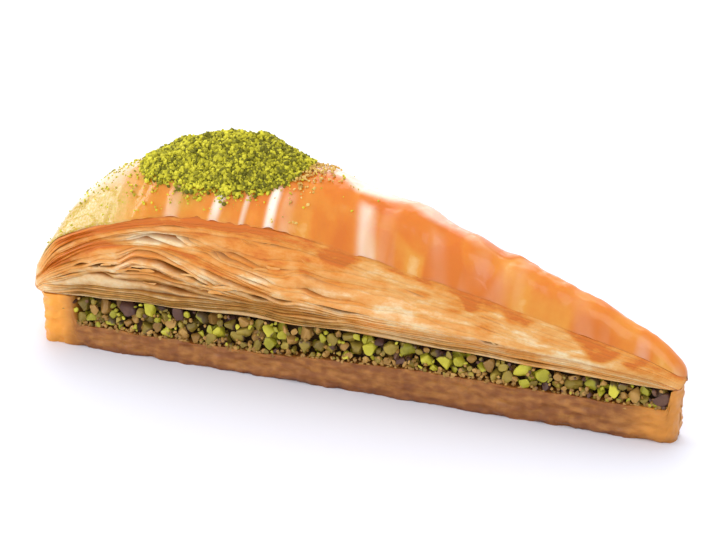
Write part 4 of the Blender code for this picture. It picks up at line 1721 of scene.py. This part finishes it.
@dataclass
class GroundHeap:
    """The heap of ground pistachio on the crust: a core and its loose grains."""

    centre: tuple[float, float] = (-33.6 * MM, 0.1 * MM)
    length: float = 46.5 * MM
    width: float = 25 * MM
    depth: float = 3.9 * MM
    rim_share: float = 0.1
    gap: float = 0.5 * MM
    sunk: float = 0.75 * MM
    core_shade: float = 0.75
    brim: float = 0.8 * MM
    clump: float = 1.2 * MM
    clump_size: float = 3.6 * MM
    grains: int = 4200
    fine: int = 9600
    crumbs: int = 1500
    strewn_centre: tuple[float, float] = (-42 * MM, -4 * MM)
    strewn_spread: tuple[float, float] = (17 * MM, 9 * MM)
    spilt: int = 300
    spilt_centre: tuple[float, float] = (-10.5 * MM, -1.2 * MM)
    spilt_spread: float = 3.6 * MM
    seed: int = 21

    def reach(self, share: Array) -> Array:
        """Half the heap's width at a share from -1 to 1 along its half length."""
        full = self.width / 2 * np.sqrt(np.maximum(0, 1 - share**4)) * lerp(1.04, 0.8, (share + 1) / 2)
        return full * (1 + 0.1 * wave(share, 0, 0, 0.25, 9.3))

    def surface(self, x: Array, v: Array) -> tuple[Array, Array]:
        """The heap's clumpy top.

        Args:
            x: places along the slice.
            v: shares from -1 to 1 across the heap.

        Returns:
            Y and Z there.
        """
        share = (x - self.centre[0]) / (self.length / 2)
        y = self.centre[1] + self.reach(share) * v
        peak = self.depth * lerp(self.rim_share, 1, eased((share + 1) / 1.6))
        mound = peak * (1 - v * v) * np.maximum(0, 1 - share * share) ** 0.75
        size = self.clump_size
        clumps = self.clump * (fuzz(x, y, 0, size, 61) + 0.5 * fuzz(x, y, 0, 0.45 * size, 62))
        fade = np.clip(1.25 - np.hypot(share, v), 0.1, 1)
        return y, FORM.on_crust(x, y) + self.gap + self.brim * fade + mound + clumps * fade

    def core(self, material: Material) -> Object:
        """Makes the body of the heap, a little lower than its grains.

        Args:
            material: its finish.

        Returns:
            The new object.
        """
        ends = 0.93 * self.length / 2
        x = np.linspace(self.centre[0] - ends, self.centre[0] + ends, 90)
        rows = []
        for v in np.linspace(1, -1, 52):
            y, z = self.surface(x, np.full_like(x, v * 0.92))
            rows.append(np.stack([x, y, z - self.sunk], -1))
        for v in np.linspace(-0.9, 0.9, 10):
            y, z = self.surface(x, np.full_like(x, v * 0.92))
            rows.append(np.stack([x, y, FORM.on_crust(x, y) + 0.1 * MM], -1))
        # Painted shade: the core is painted darker than most grains, as the shade that shows between them.
        even = (np.full_like(x, self.core_shade), np.zeros_like(x), np.zeros_like(x))
        return loft("heap_core", len(rows), rows, [even] * len(rows), material)

    def scatter(
        self, name: str, spots: Array, sizes: Array, shades: Array, rng: Random, material: Material
    ) -> Object:
        """Makes many rough grains as one piece.

        Args:
            name: the piece's name.
            spots: their centres.
            sizes: their diameters.
            shades: how dark each is.
            rng: the source of their shapes.
            material: their finish.

        Returns:
            The new object.
        """
        count = len(spots)
        unit = ball(1)
        lumps = rng.uniform(0.7, 1.25, (count, len(unit), 1))
        points = unit[None] * lumps * rng.uniform(0.6, 1.2, (count, 1, 3))
        points = np.einsum("nij,nkj->nki", turns(rng, count), points) * (sizes / 2)[:, None, None]
        points = points + spots[:, None]
        shade = np.broadcast_to(shades[:, None], points.shape[:2])
        piece = many(name, 1, points, (shade, 0 * shade, 0 * shade), material)
        piece.data.shade_flat()
        return piece

    def build(self) -> list[Object]:
        """Makes the core, the grains on it and the crumbs strewn round it.

        Returns:
            The new objects.
        """
        rng = np.random.default_rng(self.seed)
        finish = NutMeat(
            name="ground_pistachio",
            roughness=0.8,
            coat=0.0,
            pale="#E4DA3E",
            main="#BDB428",
            dark="#6A6616",
            subsurface=0.1,
            patch=2.5 * MM,
        ).material()
        core = self.core(finish)
        heaped = []
        kinds = (("heap_grains", self.grains, (0.95, 1.45)), ("heap_crumbs", self.fine, (0.5, 0.95)))
        for name, count, sizes in kinds:
            share = rng.uniform(-1, 1, count * 2)
            share = share[rng.uniform(0, 1, len(share)) < np.sqrt(1 - share**2)][:count]
            x = self.centre[0] + share * self.length / 2
            v = rng.uniform(-1, 1, len(x)) * (1 + 0.05 * rng.normal(size=len(x)))
            y, z = self.surface(x, np.clip(v, -1.08, 1.08))
            z = z + rng.normal(0, 0.25, len(x)) * MM - 0.25 * MM
            size = rng.uniform(*sizes, len(x)) * MM
            shades = rng.uniform(-0.1, 0.76, len(x)) + 0.1 * eased((x - self.centre[0]) / (18 * MM))
            shades = np.clip(shades, -0.1, 0.8)
            heaped.append(self.scatter(name, np.stack([x, y, z], -1), size, shades, rng, finish))
        strewn = rng.normal(0, 1, (self.crumbs, 2)) * self.strewn_spread + self.strewn_centre
        inside = np.abs(strewn[:, 1]) < FORM.half_width(strewn[:, 0], True) - 0.8 * MM
        strewn = strewn[inside & (strewn[:, 0] > FORM.rim_end + 5 * MM)]
        sx, sy = strewn.T
        small = rng.uniform(0.2, 0.85, len(sx)) ** 1.3 * MM
        spots = np.stack([sx, sy, FORM.on_crust(sx, sy) + 0.35 * MM], -1)
        crumbs = self.scatter("strewn_crumbs", spots, small, rng.uniform(-0.1, 0.45, len(sx)), rng, finish)
        spilt = rng.normal(0, 1, (self.spilt, 2)) * self.spilt_spread + self.spilt_centre
        sx, sy = spilt.T
        spots = np.stack([sx, sy, FORM.on_crust(sx, sy) + 0.5 * MM], -1)
        toasted = NutMeat(name="toasted_crumb", pale="#ECCB74", main="#D2A850", dark="#94702E").material()
        sizes = rng.uniform(0.4, 1.0, len(sx)) * MM
        tan = self.scatter("spilt_crumbs", spots, sizes, rng.uniform(0, 0.4, len(sx)), rng, toasted)
        for piece in (core, *heaped):
            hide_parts("ground_pistachio")
        return [core, *heaped, crumbs, tan]


# Studio


@dataclass
class Studio:
    """Pale floor, soft light and camera."""

    azimuth: float = 27.38
    elevation: float = 22.38
    distance: float = 0.4822
    target: tuple[float, float, float] = (1.35 * MM, 1.75 * MM, 23.2 * MM)
    lens: float = 100.0
    sensor: float = 36
    nearest: float = 10 * MM
    floor_colour: str = "#E3E5EA"
    world_colour: str = "#F4F6FF"
    world_strength: float = 1.05
    boxes: tuple[tuple, ...] = (
        ("top_box", (-0.12, 0.3, 0.7), (0.7, 0.5), 2.0),
        ("front_box", (0.35, -0.6, 0.5), (0.5, 0.5), 1.3),
        ("rim_box", (-0.75, -0.2, 0.3), (0.4, 0.4), 2.2),
        ("back_box", (-0.9, 1.5, 0.9), (1.6, 0.8), 7.0),
    )

    def floor(self) -> Object:
        """Makes the floor, a wide pale sheet.

        Returns:
            The new object.
        """
        bm = bmesh.new()
        bmesh.ops.create_grid(bm, x_segments=1, y_segments=1, size=4.0)
        mesh = bpy.data.meshes.new("floor")
        bm.to_mesh(mesh)
        bm.free()
        material, tree, shader = Finish(name="pale_studio_paper", roughness=0.6).start()
        feed(tree, shader, {"Base Color": self.floor_colour})
        mesh.materials.append(material)
        floor = bpy.data.objects.new("floor", mesh)
        bpy.context.scene.collection.objects.link(floor)
        return floor

    def light(self, name: str, place: tuple, size: tuple, power: float) -> None:
        """Adds one soft box that looks at the slice.

        Args:
            name: the lamp's name.
            place: where it hangs, in metres.
            size: its two sides.
            power: in watts.
        """
        data = bpy.data.lights.new(name, "AREA")
        data.shape = "RECTANGLE"
        data.size, data.size_y = size
        data.energy = power
        lamp = bpy.data.objects.new(name, data)
        lamp.location = place
        lamp.rotation_euler = (Vector(place) - Vector(self.target)).to_track_quat("Z", "Y").to_euler()
        bpy.context.scene.collection.objects.link(lamp)

    def build(self) -> None:
        """Sets up the floor, the world, the lamps and the camera."""
        self.floor()
        world = bpy.data.worlds.new("bright_studio")
        world.use_nodes = True
        sky = {"Color": self.world_colour, "Strength": self.world_strength}
        feed(world.node_tree, world.node_tree.nodes["Background"], sky)
        bpy.context.scene.world = world
        bpy.context.scene.view_settings.view_transform = "Standard"
        for box in self.boxes:
            self.light(*box)
        camera = bpy.data.objects.new("camera", bpy.data.cameras.new("camera"))
        camera.data.lens = self.lens
        camera.data.sensor_width = self.sensor
        camera.data.clip_start = self.nearest
        a, e = math.radians(self.azimuth), math.radians(self.elevation)
        back = Vector((math.sin(a) * math.cos(e), -math.cos(a) * math.cos(e), math.sin(e)))
        camera.location = Vector(self.target) + back * self.distance
        camera.rotation_euler = back.to_track_quat("Z", "Y").to_euler()
        bpy.context.scene.collection.objects.link(camera)
        bpy.context.scene.camera = camera


def main() -> None:
    """Builds the slice's layers from the bottom up, then the studio."""
    logging.basicConfig(level=logging.INFO, format="%(message)s")
    SoakedBase().build(SoakedPastry().material())
    ChoppedFilling().build()
    LeafStack().build(BakedLeaf().material())
    Crust().build(GlazedCrust().material())
    GroundHeap().build()
    Studio().build()
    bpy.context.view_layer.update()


if __name__ == "__main__":
    main()
